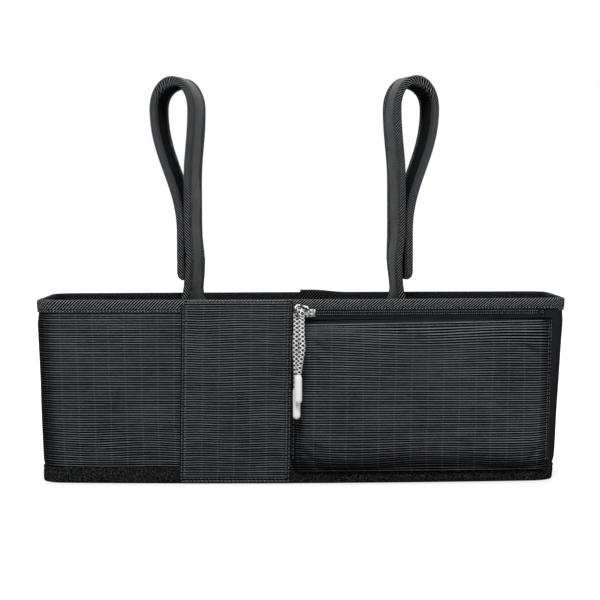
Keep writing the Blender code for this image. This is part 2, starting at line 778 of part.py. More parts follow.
def bezier(ends, count):
    """Points of a cubic curve, without the first."""
    start, first, second, end = (Vector(point) for point in ends)
    points = []
    for step in range(1, count + 1):
        t = step / count
        points.append(start * (1 - t) ** 3 + first * 3 * t * (1 - t) ** 2 + second * 3 * t * t * (1 - t) + end * t ** 3)
    return points


LAYER_STEP = STRAP_THICKNESS + GAP


def loop_route():
    """Loop of a strap as (outward, height) points, from where it turns edge-on to its free end."""
    round_share = 0.55
    top = LOOP_TOP_Z - STRAP_THICKNESS / 2
    climb = (top - LOOP_WIDE_Z) * round_share
    rise_out = (LOOP_CROWN + LOOP_BULGE) * round_share
    fall_out = (LOOP_REACH - LOOP_CROWN) * round_share
    opening = (LOOP_WIDE_Z - STRAP_PART_Z) * 0.4
    closing = (LOOP_WIDE_Z - STRAP_MEET_Z) * 0.4
    route = [Vector((0.0, STRAP_TURNED_Z)), Vector((0.0, (STRAP_TURNED_Z + STRAP_PART_Z) / 2)),
             Vector((0.0, STRAP_PART_Z))]
    route += bezier([(0.0, STRAP_PART_Z), (0.0, STRAP_PART_Z + opening), (-LOOP_BULGE, LOOP_WIDE_Z - opening),
                     (-LOOP_BULGE, LOOP_WIDE_Z)], 5)
    route += bezier([(-LOOP_BULGE, LOOP_WIDE_Z), (-LOOP_BULGE, LOOP_WIDE_Z + climb), (LOOP_CROWN - rise_out, top),
                     (LOOP_CROWN, top)], 7)
    route += bezier([(LOOP_CROWN, top), (LOOP_CROWN + fall_out, top), (LOOP_REACH, LOOP_WIDE_Z + climb),
                     (LOOP_REACH, LOOP_WIDE_Z)], 7)
    route += bezier([(LOOP_REACH, LOOP_WIDE_Z), (LOOP_REACH, LOOP_WIDE_Z - closing),
                     (LAYER_STEP, STRAP_MEET_Z + closing), (LAYER_STEP, STRAP_MEET_Z)], 7)
    route += [Vector((LAYER_STEP, STRAP_END_Z + HOOK_LENGTH)), Vector((LAYER_STEP, STRAP_END_Z))]
    return route


def strap_stations(side):
    """Centre and width direction at each station of a strap; side is -1 on the left, 1 on the right."""
    axis_x = STRAP_SHIFT + side * STRAP_SPACING / 2
    half_width = STRAP_WIDTH / 2
    half_thick = STRAP_THICKNESS / 2
    stations = [(STRAP_FOOT_Z, 0.0, math.pi / 2)]
    for step in range(TWIST_STEPS):
        share = step / TWIST_STEPS
        eased = share * share * (3 - 2 * share)
        turn = math.pi / 2 + (STRAP_YAW - math.pi / 2) * eased
        stations.append((STRAP_FLAT_Z + (STRAP_TURNED_Z - STRAP_FLAT_Z) * share, 0.0, turn))
    stations += [(point.y, point.x, STRAP_YAW) for point in loop_route()]
    frames = []
    for z, outward, turn in stations:
        wall_z = min(z, BODY_HEIGHT)
        share = min(1.0, max(0.0, (wall_z - STRAP_FLAT_Z) / (WALL_TOP_Z - RIM_TAPE_DROP - STRAP_FLAT_Z)))
        clearance = GAP + (RIM_TAPE_THICKNESS + 2 * GAP) * share
        depth = half_width * math.cos(turn) + half_thick * math.sin(turn)
        reach = half_width * math.sin(turn)
        wall = rear_y(abs(axis_x) + reach, wall_z, -WALL_THICKNESS)
        across = Vector((side * math.cos(STRAP_YAW), math.sin(STRAP_YAW), 0.0))
        centre = Vector((axis_x, wall - clearance - depth, z)) + across * outward
        width = Vector((side * math.sin(turn), -math.cos(turn), 0.0))
        frames.append((centre, width))
    return frames


def band_sections(frames, side, outline):
    """Sections of a band: outline holds (across the width, towards the loop's inside) points."""
    sections = []
    for index, (centre, width) in enumerate(frames):
        before = frames[max(0, index - 1)][0]
        after = frames[min(len(frames) - 1, index + 1)][0]
        tangent = (after - before).normalized()
        inward = side * tangent.cross(width)
        inward.normalize()
        sections.append([centre + width * across + inward * depth for across, depth in outline])
    return sections


def edge_outline(sign):
    """Tape folded round one long edge of a strap."""
    edge = STRAP_WIDTH / 2
    thick = STRAP_THICKNESS / 2
    start = edge - EDGE_COVER
    outline = [
        (start, thick), (edge - EDGE_ROUND, thick), (edge, thick - EDGE_ROUND), (edge, -thick + EDGE_ROUND),
        (edge - EDGE_ROUND, -thick), (start, -thick), (start, -thick + EDGE_TAPE),
        (edge - EDGE_TAPE, -thick + EDGE_TAPE), (edge - EDGE_TAPE, thick - EDGE_TAPE), (start, thick - EDGE_TAPE),
    ]
    return [(sign * across, depth) for across, depth in outline]


def build_strap(label, side):
    """Padded band, the tape round its edges, and the hook and loop tapes that hold the loop shut."""
    frames = strap_stations(side)
    half_pad = STRAP_WIDTH / 2 - EDGE_TAPE - GAP
    pad_thick = STRAP_THICKNESS / 2 - EDGE_TAPE - GAP
    covered = STRAP_WIDTH / 2 - EDGE_COVER
    stops = [half_pad, covered, covered / 2, 0.0, -covered / 2, -covered, -half_pad]
    pad = [(across, pad_thick) for across in stops] + [(across, -pad_thick) for across in reversed(stops)]
    loft(label + "_strap_pad", band_sections(frames, side, pad), strap_cloth())
    loft(label + "_strap_edge_front", band_sections(frames, side, edge_outline(1)), twill_tape())
    loft(label + "_strap_edge_rear", band_sections(frames, side, edge_outline(-1)), twill_tape())
    half_tape = STRAP_WIDTH / 2 - EDGE_COVER - GAP
    low = pad_thick + GAP
    high = low + FASTENER_TAPE - GAP
    tape = [(half_tape, low), (half_tape, high), (-half_tape, high), (-half_tape, low)]
    build_fastener(label + "_strap_hook_tape", frames[-2:], side, tape)
    turned = len(frames) - len(loop_route())
    rising = [frames[turned], frames[turned + 1], frames[turned + 2]]
    build_fastener(label + "_strap_loop_tape", rising, side, tape)


def build_fastener(name, frames, side, outline):
    loft(name, band_sections(frames, side, outline), fastener_cloth())


def divider_sections(side, outline, margin):
    """Sections of a divider from the front wall to the rear wall: outline holds (across, z)."""
    columns = 8
    sections = []
    for step in range(columns + 1):
        share = step / columns
        x = side * (DIVIDER_X - DIVIDER_BOW * 4 * share * (1 - share))
        section = []
        for across, z in outline:
            here = x + across
            front = front_point(here, z, -WALL_THICKNESS - margin).y
            rear = rear_y(here, z, -WALL_THICKNESS - margin)
            section.append(Vector((here, front + (rear - front) * share, z)))
        sections.append(section)
    return sections


def build_dividers():
    """A padded divider beside each cup space, with tape over its top edge."""
    half = DIVIDER_THICKNESS / 2
    low = FLOOR_Z + BOARD_THICKNESS + GAP
    top = DIVIDER_TOP_Z - DIVIDER_TAPE - GAP
    face = half + GAP
    drop = DIVIDER_TOP_Z - DIVIDER_TAPE_DROP
    tape = [(face, drop), (face + DIVIDER_TAPE, drop), (face + DIVIDER_TAPE, DIVIDER_TOP_Z),
            (-face - DIVIDER_TAPE, DIVIDER_TOP_Z), (-face - DIVIDER_TAPE, drop), (-face, drop),
            (-face, top + GAP), (face, top + GAP)]
    wall = [(half, low), (half, top), (-half, top), (-half, low)]
    for label, side in (("left", -1), ("right", 1)):
        loft(label + "_cup_divider", divider_sections(side, wall, GAP), lining_cloth())
        loft(label + "_divider_tape", divider_sections(side, tape, GAP), twill_tape())


def main():
    clear_scene()
    new_collection(COLLECTION)
    build_walls()
    build_base()
    build_rim_tape()
    build_centre_panel()
    build_zip()
    build_pocket()
    build_slider()
    build_ring()
    build_cord()
    build_strap("left", -1)
    build_strap("right", 1)
    build_dividers()


main()
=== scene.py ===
"""Looks of the stroller organizer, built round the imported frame. Metres, +Z up; the front faces -Y."""
import json
import math

import bmesh
import bpy
import numpy as np
from mathutils import Matrix, Vector


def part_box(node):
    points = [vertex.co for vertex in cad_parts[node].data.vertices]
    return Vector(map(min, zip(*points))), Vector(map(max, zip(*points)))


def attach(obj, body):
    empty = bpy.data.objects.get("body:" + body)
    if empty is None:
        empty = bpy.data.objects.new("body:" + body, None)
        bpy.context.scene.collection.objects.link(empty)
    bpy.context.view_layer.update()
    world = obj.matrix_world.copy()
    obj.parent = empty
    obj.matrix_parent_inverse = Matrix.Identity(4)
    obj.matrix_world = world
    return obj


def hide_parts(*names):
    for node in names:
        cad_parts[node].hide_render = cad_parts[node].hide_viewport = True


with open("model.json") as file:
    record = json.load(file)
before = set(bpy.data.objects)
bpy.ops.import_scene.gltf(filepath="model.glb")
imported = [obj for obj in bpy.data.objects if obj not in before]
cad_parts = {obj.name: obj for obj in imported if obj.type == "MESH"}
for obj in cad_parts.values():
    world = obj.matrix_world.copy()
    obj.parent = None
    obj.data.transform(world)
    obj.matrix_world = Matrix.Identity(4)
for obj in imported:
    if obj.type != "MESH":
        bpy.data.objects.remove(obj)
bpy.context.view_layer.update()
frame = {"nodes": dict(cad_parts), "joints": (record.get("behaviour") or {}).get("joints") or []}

# Body sizes that the frame's boxes don't give by themselves
GAP = 0.0003
CORNER_RADIUS = 0.016
FRONT_BOW = 0.008
REAR_BOW = 0.003
WALL_THICKNESS = 0.004
RIM_TAPE_THICKNESS = 0.0015
RIM_TAPE_FACE = 0.0009
CLOTH = 0.0012

# Body sizes from the frame
BASE_LOW, BASE_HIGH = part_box("base_panel")
FRONT_LOW, FRONT_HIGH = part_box("front_wall")
REAR_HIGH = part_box("rear_wall")[1]
SIDE_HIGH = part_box("right_side_wall")[1]
FLOOR_Z = FRONT_LOW.z
WALL_TOP_Z = FRONT_HIGH.z
BODY_HEIGHT = WALL_TOP_Z + RIM_TAPE_THICKNESS + GAP
RIM_DROP_PLAIN = 0.0090
RIM_DROP_ZIP = 0.0074

# The bag stands a little out of true: its foot lies further left than its rim
# How far round the front's left corner the ribbed cloth's painted corner shade reaches
CORNER_SHADE_RUN = 0.0205
LEAN = 0.0195
UPRIGHT_Z = 0.086
WALL_PUFF = 0.0010

# Height at which lengths round the walls are measured
PLAN_Z = 0.06

# Cloth finishes: distances between ribs, threads and stitches
RIB_PITCH = 0.00165
RIB_HEIGHT = 0.00030
ROWS_PER_RIB = 4
STITCH_PITCH = 0.0027
STITCH_LENGTH = 0.0019
STITCH_WIDTH = 0.00042

# Front panel and pocket
PANEL_LOW, PANEL_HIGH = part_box("centre_panel")
PANEL_CLOTH = 0.0018
PANEL_CORNER = 0.003
PANEL_WIDTH = PANEL_HIGH.x - PANEL_LOW.x
PANEL_SEAMS = (0.0013, 0.0034)
BAND_THICKNESS = 0.0015
POCKET_LOW, POCKET_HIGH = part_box("pocket_panel")
POCKET_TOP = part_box("pocket_top_band")[1].z
POCKET_PUFF = 0.0085
POCKET_HEM = 0.0016
POCKET_SEAMS = (0.0004, 0.0020)
RISE_LEFT = 0.0085
RISE_RIGHT = 0.0140
RISE_BOTTOM = 0.0110
RISE_TOP = 0.0150
POCKET_CORNERS = (0.0080, 0.0045)
POCKET_WIDTH = POCKET_HIGH.x - POCKET_LOW.x

# Cord, repeated from the part: where each leg starts, and its route across, forward and up from there
CORD_DIAMETER = 0.0042
TIP_DIAMETER = 0.0052
CORD_GAP = 0.0003
BRAID_STRANDS = 3.0
BRAID_LAY = 0.0030
CORD_SIDES = 24
SHORT_START = (0.00103, -0.07867, 0.11762)
LONG_START = (-0.00263, -0.07391, 0.11762)
SHORT_LEG = [(-0.0002, 0.0006, -0.004), (-0.0002, 0.0022, -0.009), (0.0000, 0.0044, -0.015),
             (0.0002, 0.0058, -0.022), (-0.0012, 0.0062, -0.031), (-0.0026, 0.0062, -0.0395)]
LONG_LEG = [(0.0000, 0.0008, -0.004), (-0.0001, 0.0024, -0.009), (-0.0004, 0.0042, -0.015),
            (-0.0006, 0.0052, -0.022), (-0.0004, 0.0054, -0.030), (0.0000, 0.0054, -0.039),
            (-0.0001, 0.0054, -0.0487)]
BIGHT_DROP = 0.0006
SHORT_LENGTH = 0.0406
LONG_LENGTH = 0.0495

# Straps, repeated from the part
STRAP_SPACING = 0.151
STRAP_SHIFT = -0.003
STRAP_WIDTH = 0.036
STRAP_THICKNESS = 0.0050
LAYER_STEP = STRAP_THICKNESS + GAP
STRAP_YAW = math.radians(13)
BASE_TURN = {-1: math.radians(2.5), 1: math.radians(-6.0)}
STRAP_FOOT_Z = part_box("left_strap_pad")[0].z
STRAP_FLAT_Z = 0.080
STRAP_TURNED_Z = 0.134
STRAP_PART_Z = 0.210
LOOP_WIDE_Z = 0.265
LOOP_TOP_Z = 0.289
LOOP_BULGE = 0.0032
LOOP_REACH = 0.0256
LOOP_CROWN = 0.0112
STRAP_MEET_Z = 0.174
STRAP_END_Z = 0.139
HOOK_LENGTH = 0.032
EDGE_COVER = 0.0064
PAD_POINTS = 15

# Dividers inside
DIVIDER_X = 0.103
DIVIDER_BOW = 0.006
DIVIDER_THICKNESS = 0.003

# Camera at the photograph's viewing angle, for an image of 600 by 600
CAMERA_PLACE = (-0.0093, -1.5, 0.1924)
CAMERA_DOWN = math.radians(2.563)
CAMERA_YAW = math.radians(-0.37)
CAMERA_ROLL = math.radians(-0.23)
CAMERA_LENS = 124.3

# Studio: white, and how far the floor's painted shadow reaches from the middle under the bag
WHITE = (1.0, 1.0, 1.0, 1.0)
BASE_HALF = (0.170, 0.058, 0.0)
ORIGIN = (0.0, 0.0, 0.0)


class Value:
    """A number, colour or place in a material's node tree. Sums with it add nodes."""

    def __init__(self, nodes, socket):
        self.nodes = nodes
        self.socket = socket

    def math(self, operation, second=0.0):
        return self.nodes.add("ShaderNodeMath", {0: self, 1: second}, operation=operation)

    def __add__(self, other):
        return self.math("ADD", other)

    def __sub__(self, other):
        return self.math("SUBTRACT", other)

    def __rsub__(self, other):
        return self * -1.0 + other

    def __mul__(self, other):
        return self.math("MULTIPLY", other)

    def __truediv__(self, other):
        return self.math("DIVIDE", other)

    def blend(self, low, high, low_out=0.0, high_out=1.0):
        """Goes from one output to the other between low and high, and stays level beyond them."""
        return self.nodes.add("ShaderNodeMapRange", {0: self, 1: low, 2: high, 3: low_out, 4: high_out})

    def wave(self):
        """1 in the middle of each whole turn and 0 at its ends."""
        centred = self.math("FRACT") * 2.0 - 1.0
        return 1.0 - centred * centred


class Nodes:
    """A tree of shader nodes, and short ways to add to it."""

    def __init__(self, tree):
        self.tree = tree

    def add(self, kind, inputs=None, output=0, **settings):
        """Adds a node and gives one of its outputs as a value."""
        node = self.tree.nodes.new(kind)
        for setting, value in settings.items():
            setattr(node, setting, value)
        for socket, value in (inputs or {}).items():
            self.feed(node.inputs[socket], value)
        return Value(self, node.outputs[output])

    def feed(self, socket, value):
        if isinstance(value, Value):
            self.tree.links.new(value.socket, socket)
        else:
            socket.default_value = value

    def rays(self, *kinds):
        """1 for rays of the kinds named and 0 for all others."""
        seen, *others = [self.add("ShaderNodeLightPath", output=kind) for kind in kinds]
        for other in others:
            seen = seen.math("MAXIMUM", other)
        return seen


class Finish(Nodes):
    """A procedural material being made, with its shader."""

    def __init__(self, name, roughness, metallic=0.0, **sockets):
        self.material = bpy.data.materials.new(name)
        self.material.use_nodes = True
        super().__init__(self.material.node_tree)
        self.shader = self.tree.nodes["Principled BSDF"]
        for socket, value in {"Roughness": roughness, "Metallic": metallic, **sockets}.items():
            self.shader.inputs[socket.replace("_", " ")].default_value = value

    def cloth_place(self):
        """Distances along and up the cloth, in metres, from the piece's own layout."""
        layout = self.add("ShaderNodeUVMap", uv_map="cloth")
        return [self.add("ShaderNodeSeparateXYZ", {0: layout}, part) for part in (0, 1)]

    def solid_place(self):
        return self.add("ShaderNodeTexCoord", output="Object")

    def noise(self, place, scale, detail=2.0, rough=0.5):
        """Noise over a place in space, or over a pair of distances on the cloth."""
        if isinstance(place, (tuple, list)):
            place = self.add("ShaderNodeCombineXYZ", {0: place[0], 1: place[1]})
        inputs = {"Vector": place, "Scale": scale, "Detail": detail, "Roughness": rough}
        return self.add("ShaderNodeTexNoise", inputs, "Fac")

    def mix(self, factor, first, second):
        return self.add("ShaderNodeMix", {0: factor, 6: first, 7: second}, 2, data_type="RGBA")

    def dress(self, colour, rough, height, distance):
        """Gives the shader its colour, roughness and bump, and returns the material."""
        bump = self.add("ShaderNodeBump", {"Height": height, "Distance": distance, "Strength": 1.0})
        for socket, value in (("Base Color", colour), ("Roughness", rough), ("Normal", bump)):
            self.feed(self.shader.inputs[socket], value)
        return self.material


def grey(level, blue=1.06):
    """A near-black cloth colour, a little blue."""
    return (level, level * (0.7 + 0.3 * blue), level * blue, 1.0)


def ribbed_cloth(name="ribbed_cloth", hem=None):
    """Cloth with ribs across it: painted highlights on the rib tops, painted shade in the grooves, fine
    threads and uneven yarn.

    A hem is the cloth's width, its lowest height, and how far painted shade reaches in from its left, right
    and foot.
    """
    finish = Finish(name, 0.60, Specular_IOR_Level=0.0)
    along, up = finish.cloth_place()
    rib = (up / RIB_PITCH).wave()
    row = (up / RIB_PITCH).math("FLOOR")
    yarn = finish.noise((along * 38.0, row * 5.37), 1.0)
    thread = finish.noise((along * 800.0, row * 3.31), 1.0, 1.0)
    patch = finish.noise((along, up), 30.0)
    sheen = finish.noise((along, up), 9.0)
    warp = ((along + patch * 0.003) / 0.0112).wave()
    # Painted highlights on the rib tops, painted shade in the grooves between them
    lit = rib.blend(0.80, 1.0) * yarn.blend(0.30, 0.70, 0.70, 1.25)
    lit = lit * (row * 0.5).math("FRACT").blend(0.0, 0.5, 0.82, 1.20) * thread.blend(0.30, 0.70, 0.80, 1.15)
    # Painted shade: darker where the cloth turns round the front's left corner
    lit = lit * warp.blend(0.988, 1.0, 1.0, 1.80) * along.blend(-0.0070, 0.0010, 0.35, 1.0)
    if hem:
        width, low, shade_left, shade_right, shade_foot = hem
        # Painted shade: darker towards the cloth's left and right edges and its foot
        lit = lit * along.blend(0.0, shade_left, 0.20, 1.0) * along.blend(width, width - shade_right, 0.20, 1.0)
        lit = lit * up.blend(low, low + shade_foot, 0.35, 1.0)
    lit = lit * patch.blend(0.3, 0.7, 0.85, 1.1) * sheen.blend(0.3, 0.7, 0.72, 1.26)
    colour = finish.mix(lit, grey(0.001, 1.2), grey(0.19, 1.13))
    return finish.dress(colour, yarn.blend(0.2, 0.8, 0.52, 0.70), thread * 0.3 + rib, 0.00016)


def smooth_cloth():
    """Plain matte weave, over and under."""
    finish = Finish("smooth_cloth", 0.80, Specular_IOR_Level=0.0)
    along, up = finish.cloth_place()
    pitch = 0.0011
    weave = (along / pitch).wave() * (up / pitch).wave()
    patch = finish.noise((along, up), 60.0, 4.0)
    colour = finish.mix(weave * 0.4 + patch * 0.6, grey(0.007, 1.12), grey(0.036, 1.12))
    return finish.dress(colour, patch.blend(0.3, 0.7, 0.7, 0.88), weave, 0.00015)


def lining_cloth():
    """Smooth lining with a fine twill line."""
    finish = Finish("lining_cloth", 0.70, Specular_IOR_Level=0.0)
    along, up = finish.cloth_place()
    pitch = 0.0006
    twill = ((along + up) / pitch).wave()
    patch = finish.noise((along, up), 40.0, 3.0)
    colour = finish.mix(twill * 0.45 + patch * 0.55, grey(0.005, 1.12), grey(0.030, 1.12))
    return finish.dress(colour, patch.blend(0.3, 0.7, 0.62, 0.78), twill, 0.0001)


def felt():
    """Brushed felt: matted fibres and small pale flecks."""
    finish = Finish("felt", 0.95, Specular_IOR_Level=0.0)
    place = finish.solid_place()
    fibres = finish.noise(place, 1400.0, 5.0, 0.7)
    tufts = finish.noise(place, 330.0, 3.0)
    tone = fibres.blend(0.50, 0.72) * tufts.blend(0.3, 0.7, 0.5, 1.0)
    colour = finish.mix(tone, grey(0.004), grey(0.16))
    return finish.dress(colour, tufts.blend(0.3, 0.7, 0.88, 1.0), fibres + tufts, 0.0005)


def twill_tape(name="twill_tape", slant=-1.0, pitch=0.0022, bright=0.30, inside_shade_from=0.0125, foot=0.0025):
    """Tape with raised diagonal cords in painted highlight; its sewn foot has crossed cords below a dark
    line, and its side folded inside the rim has painted shade.
    """
    finish = Finish(name, 0.65, Specular_IOR_Level=0.0)
    along, up = finish.cloth_place()
    crossing = along - up * slant
    cord = ((along + up * slant) / pitch).wave()
    crossed = cord * (crossing / pitch).wave()
    patch = finish.noise((along, up), 420.0)
    folded_in = up.blend(inside_shade_from, inside_shade_from + 0.001)
    sewn = (1.0 - up.blend(foot - 0.0001, foot + 0.0001)).math("MAXIMUM", folded_in)
    # Painted highlights on the raised cords
    lit = cord.blend(0.82, 1.0) * (1.0 - sewn) + crossed.blend(0.45, 0.9) * sewn
    lit = lit * (up - foot).math("ABSOLUTE").blend(0.0002, 0.0004) * patch.blend(0.3, 0.7, 0.6, 1.2)
    # Painted shade: the side folded inside the rim is darkened to a quarter
    lit = lit * folded_in.blend(0.0, 1.0, 1.0, 0.25)
    colour = finish.mix(lit, grey(0.001, 1.2), grey(bright, 1.13))
    height = cord + (crossing / 0.0005).wave() * 0.25
    return finish.dress(colour, cord.blend(0.0, 1.0, 0.80, 0.60), height, 0.0003)


def strap_cloth():
    """Smooth padded strap cloth with a soft grey shine."""
    finish = Finish("strap_cloth", 0.60, Specular_IOR_Level=0.05)
    along, up = finish.cloth_place()
    patch = finish.noise((along, up), 120.0, 4.0)
    colour = finish.mix(patch.blend(0.3, 0.7), grey(0.036, 1.12), grey(0.090, 1.12))
    return finish.dress(colour, patch.blend(0.3, 0.7, 0.52, 0.68), (along / 0.0005).wave() + patch, 0.00008)


def fastener_cloth():
    """Hook and loop tape: a dense pile of tiny loops."""
    finish = Finish("fastener_cloth", 0.95, Specular_IOR_Level=0.0)
    place = finish.solid_place()
    cells = finish.add("ShaderNodeTexVoronoi", {"Vector": place, "Scale": 1300.0}, "Distance")
    tufts = finish.noise(place, 500.0, 3.0)
    colour = finish.mix(cells * tufts, grey(0.003), grey(0.020))
    return finish.dress(colour, tufts.blend(0.3, 0.7, 0.85, 1.0), cells, 0.0004)


def cord_braid():
    """White net braided over a black core: pale strands cross and leave black lozenges."""
    finish = Finish("cord_braid", 0.62, Sheen_Weight=0.2, Specular_IOR_Level=0.35)
    around, along = finish.cloth_place()
    turn = around * BRAID_STRANDS
    lay = along / BRAID_LAY
    strands = [(either.math("FRACT") - 0.5).math("ABSOLUTE") for either in (turn + lay, turn - lay)]
    near = strands[0].math("MAXIMUM", strands[1])
    fuzz = finish.noise(finish.solid_place(), 1800.0)
    pale = finish.mix(fuzz, (0.86, 0.86, 0.85, 1.0), (0.97, 0.97, 0.96, 1.0))
    colour = finish.mix(near.blend(0.34, 0.38), grey(0.006), pale)
    return finish.dress(colour, fuzz.blend(0.3, 0.7, 0.55, 0.75), near.blend(0.22, 0.5) + fuzz * 0.2, 0.00035)


def white_plastic():
    """Moulded white plastic with faint flow lines and handling marks."""
    finish = Finish("white_plastic", 0.36, Specular_IOR_Level=0.5, Coat_Weight=0.1)
    stretched = finish.add("ShaderNodeMapping", {0: finish.solid_place(), 3: (1.0, 1.0, 0.15)})
    flow = finish.noise(stretched, 500.0)
    colour = finish.mix(flow, (0.93, 0.93, 0.92, 1.0), (0.98, 0.98, 0.97, 1.0))
    return finish.dress(colour, flow.blend(0.3, 0.7, 0.3, 0.45), flow, 0.00006)


def grained(finish, scale, detail, blend, colours, rough, distance, coarse=0.5):
    """Colour, roughness and bump from one noise in space; blend sharpens what mixes the two colours."""
    grain = finish.noise(finish.solid_place(), scale, detail, coarse)
    colour = finish.mix(grain.blend(*blend), *colours)
    return finish.dress(colour, grain.blend(0.3, 0.7, *rough), grain, distance)


def steel():
    """Dark plated wire with fine draw lines, rubbed bright in places that also stand as painted highlights.
    """
    finish = Finish("steel", 0.18, metallic=1.0)
    lines = finish.noise(finish.solid_place(), 900.0, 3.0)
    rub_and_glint = finish.noise(finish.solid_place(), 260.0)
    # The rubbed spots are also painted highlights on the dark wire
    colour = finish.mix(rub_and_glint.blend(0.46, 0.56), grey(0.06), grey(0.85, 1.0))
    return finish.dress(colour, lines.blend(0.3, 0.7, 0.14, 0.3), lines, 0.00002)


NYLON_GREYS = (grey(0.004), grey(0.012))
# The slider's pale spots are partly the metal's own uneven tone and partly painted highlights
ZINC_AND_GLINT_GREYS = (grey(0.05), grey(0.70))
THREAD_GREYS = (grey(0.01), grey(0.30))
THREAD = Finish("thread", 0.50, Specular_IOR_Level=0.15)
NYLON = Finish("black_nylon", 0.45, Specular_IOR_Level=0.2)
ZINC = Finish("dark_metal", 0.30, metallic=0.6, Specular_IOR_Level=0.6, Coat_Weight=0.3)
FINISHES = {
    "ribbed_cloth": ribbed_cloth(),
    "smooth_cloth": smooth_cloth(),
    "lining_cloth": lining_cloth(),
    "felt": felt(),
    "twill_tape": twill_tape(),
    "strap_cloth": strap_cloth(),
    "fastener_cloth": fastener_cloth(),
    "thread": grained(THREAD, 2600.0, 2.0, (0.35, 0.65), THREAD_GREYS, (0.45, 0.7), 0.00008),
    "cord_braid": cord_braid(),
    "white_plastic": white_plastic(),
    "black_nylon": grained(NYLON, 1500.0, 2.0, (0.0, 1.0), NYLON_GREYS, (0.36, 0.52), 0.00005),
    "dark_metal": grained(ZINC, 420.0, 4.0, (0.42, 0.62), ZINC_AND_GLINT_GREYS, (0.22, 0.42), 0.00003, 0.6),
    "steel": steel(),
    "edge_tape": twill_tape("edge_tape", 1.0, 0.0021, 0.25, 1.0, -1.0),
    # Pocket and panel cloths, with painted shade along their sides and foot
    "pocket_cloth": ribbed_cloth("pocket_cloth", (POCKET_WIDTH, POCKET_LOW.z, 0.013, 0.010, 0.022)),
    "panel_cloth": ribbed_cloth("panel_cloth", (PANEL_WIDTH, PANEL_LOW.z, 0.004, 0.005, 0.006)),
}


def add_piece(name, mesh, finish, nodes=(), body="bag", sharp=75):
    """Puts a mesh into the scene with its finish, body and the CAD nodes it stands for."""
    mesh.name = name
    mesh.materials.append(FINISHES[finish])
    mesh.shade_smooth()
    mesh.set_sharp_from_angle(angle=math.radians(sharp))
    piece = bpy.data.objects.new(name, mesh)
    bpy.context.scene.collection.objects.link(piece)
    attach(piece, body)
    if nodes:
        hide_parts(*nodes)
    return piece


def mesh_from(points, faces, layout):
    """Mesh of points and quads; layout holds each quad corner's place on the cloth."""
    mesh = bpy.data.meshes.new("piece")
    mesh.vertices.add(len(points))
    mesh.vertices.foreach_set("co", np.asarray(points, np.float32).ravel())
    faces = np.asarray(faces, np.int32)
    mesh.loops.add(faces.size)
    mesh.loops.foreach_set("vertex_index", faces.ravel())
    mesh.polygons.add(len(faces))
    mesh.polygons.foreach_set("loop_start", np.arange(0, faces.size, 4, dtype=np.int32))
    mesh.update(calc_edges=True)
    layer = mesh.uv_layers.new(name="cloth")
    layer.data.foreach_set("uv", np.asarray(layout, np.float32).ravel())
    return mesh


def grid_mesh(face, back, along, up, closed=False):
    """Closed sheet between two grids of points, face and back, of rows by columns.

    along gives each column's place on the cloth and up each row's, in metres. A closed sheet's last
    column is its first again. Seen from the face, columns run to the right and rows run up.
    """
    rows, columns = face.shape[:2]
    ring = columns - 1 if closed else columns
    faces = []
    layout = []

    def patch(corners):
        """Quads whose corners are given as row, column and side: 0 on the face and 1 on the back."""
        index = [side * rows * ring + row * ring + column % ring for row, column, side in corners]
        place = [np.stack(np.broadcast_arrays(along[column], up[row]), axis=-1) for row, column, _ in corners]
        faces.append(np.stack(index, axis=-1))
        layout.append(np.stack(place, axis=1))

    row, column = [part.ravel() for part in np.mgrid[0:rows - 1, 0:columns - 1]]
    square = [(row, column), (row, column + 1), (row + 1, column + 1), (row + 1, column)]
    patch([(*corner, 0) for corner in square])
    patch([(*corner, 1) for corner in square[:1] + square[:0:-1]])
    span = np.arange(columns - 1)
    for at, order in ((0, -1), (rows - 1, 1)):
        patch([(at, span, 0), (at, span, 1), (at, span + 1, 1), (at, span + 1, 0)][::order])
    span = np.arange(rows - 1)
    for at, order in () if closed else ((0, 1), (columns - 1, -1)):
        patch([(span, at, 0), (span, at, 1), (span + 1, at, 1), (span + 1, at, 0)][::order])
    points = np.concatenate([face[:, :ring].reshape(-1, 3), back[:, :ring].reshape(-1, 3)])
    return mesh_from(points, np.concatenate(faces), np.concatenate(layout))


def skin(rings, count, place, flip=False, start=0):
    """Quads over rings of points, closed at both ends, and their layout.

    place gives a corner's layout from its ring and side; start is the number of the first point.
    """
    last = rings - 1
    order = -1 if flip else 1
    faces = []
    layout = []
    for ring in range(last):
        for side in range(count):
            corners = [(ring, side), (ring, side + 1), (ring + 1, side + 1), (ring + 1, side)][::order]
            faces.append([start + at * count + turn % count for at, turn in corners])
            layout.append([place(at, turn) for at, turn in corners])
    for side in range(count // 2 - 1):
        cap = [start + corner for corner in (side, side + 1, count - 2 - side, count - 1 - side)][::order]
        faces += [cap[::-1], [last * count + corner for corner in cap]]
        layout += [[place(0, side)] * 4, [place(last, side)] * 4]
    return faces, layout


def swept_mesh(rings, place, flip=False):
    """Mesh of one skin over rings of points."""
    points = [tuple(point) for ring in rings for point in ring]
    return mesh_from(points, *skin(len(rings), len(rings[0]), place, flip))


def add_sheet(name, finish, face, back, along, up, nodes=(), closed=False):
    """A piece that is one sheet with a face and a back."""
    return add_piece(name, grid_mesh(face, back, along, up, closed), finish, nodes)


def capsules(name, items, finish="thread", nodes=()):
    """Many small rounded bars in one mesh: items hold (centre, direction, normal, length, width, height)."""
    stations = ((-0.5, 0.35), (-0.32, 1.0), (0.32, 1.0), (0.5, 0.35))
    sides = 6
    points = []
    faces = []
    layout = []
    turns = [2 * math.pi * side / sides for side in range(sides)]

    def place(ring, side):
        return ring * 0.001, side * 0.0002

    for centre, direction, normal, length, width, height in items:
        direction = Vector(direction).normalized()
        normal = Vector(normal).normalized()
        across = direction.cross(normal)
        start = len(points)
        for share, size in stations:
            middle = Vector(centre) + direction * length * share
            for turn in turns:
                points.append(middle + across * (math.cos(turn) * width / 2 * size)
                              + normal * (math.sin(turn) * height / 2 * size))
        added, places = skin(len(stations), sides, place, True, start)
        faces += added
        layout += places
    return add_piece(name, mesh_from([tuple(point) for point in points], faces, layout), finish, nodes)


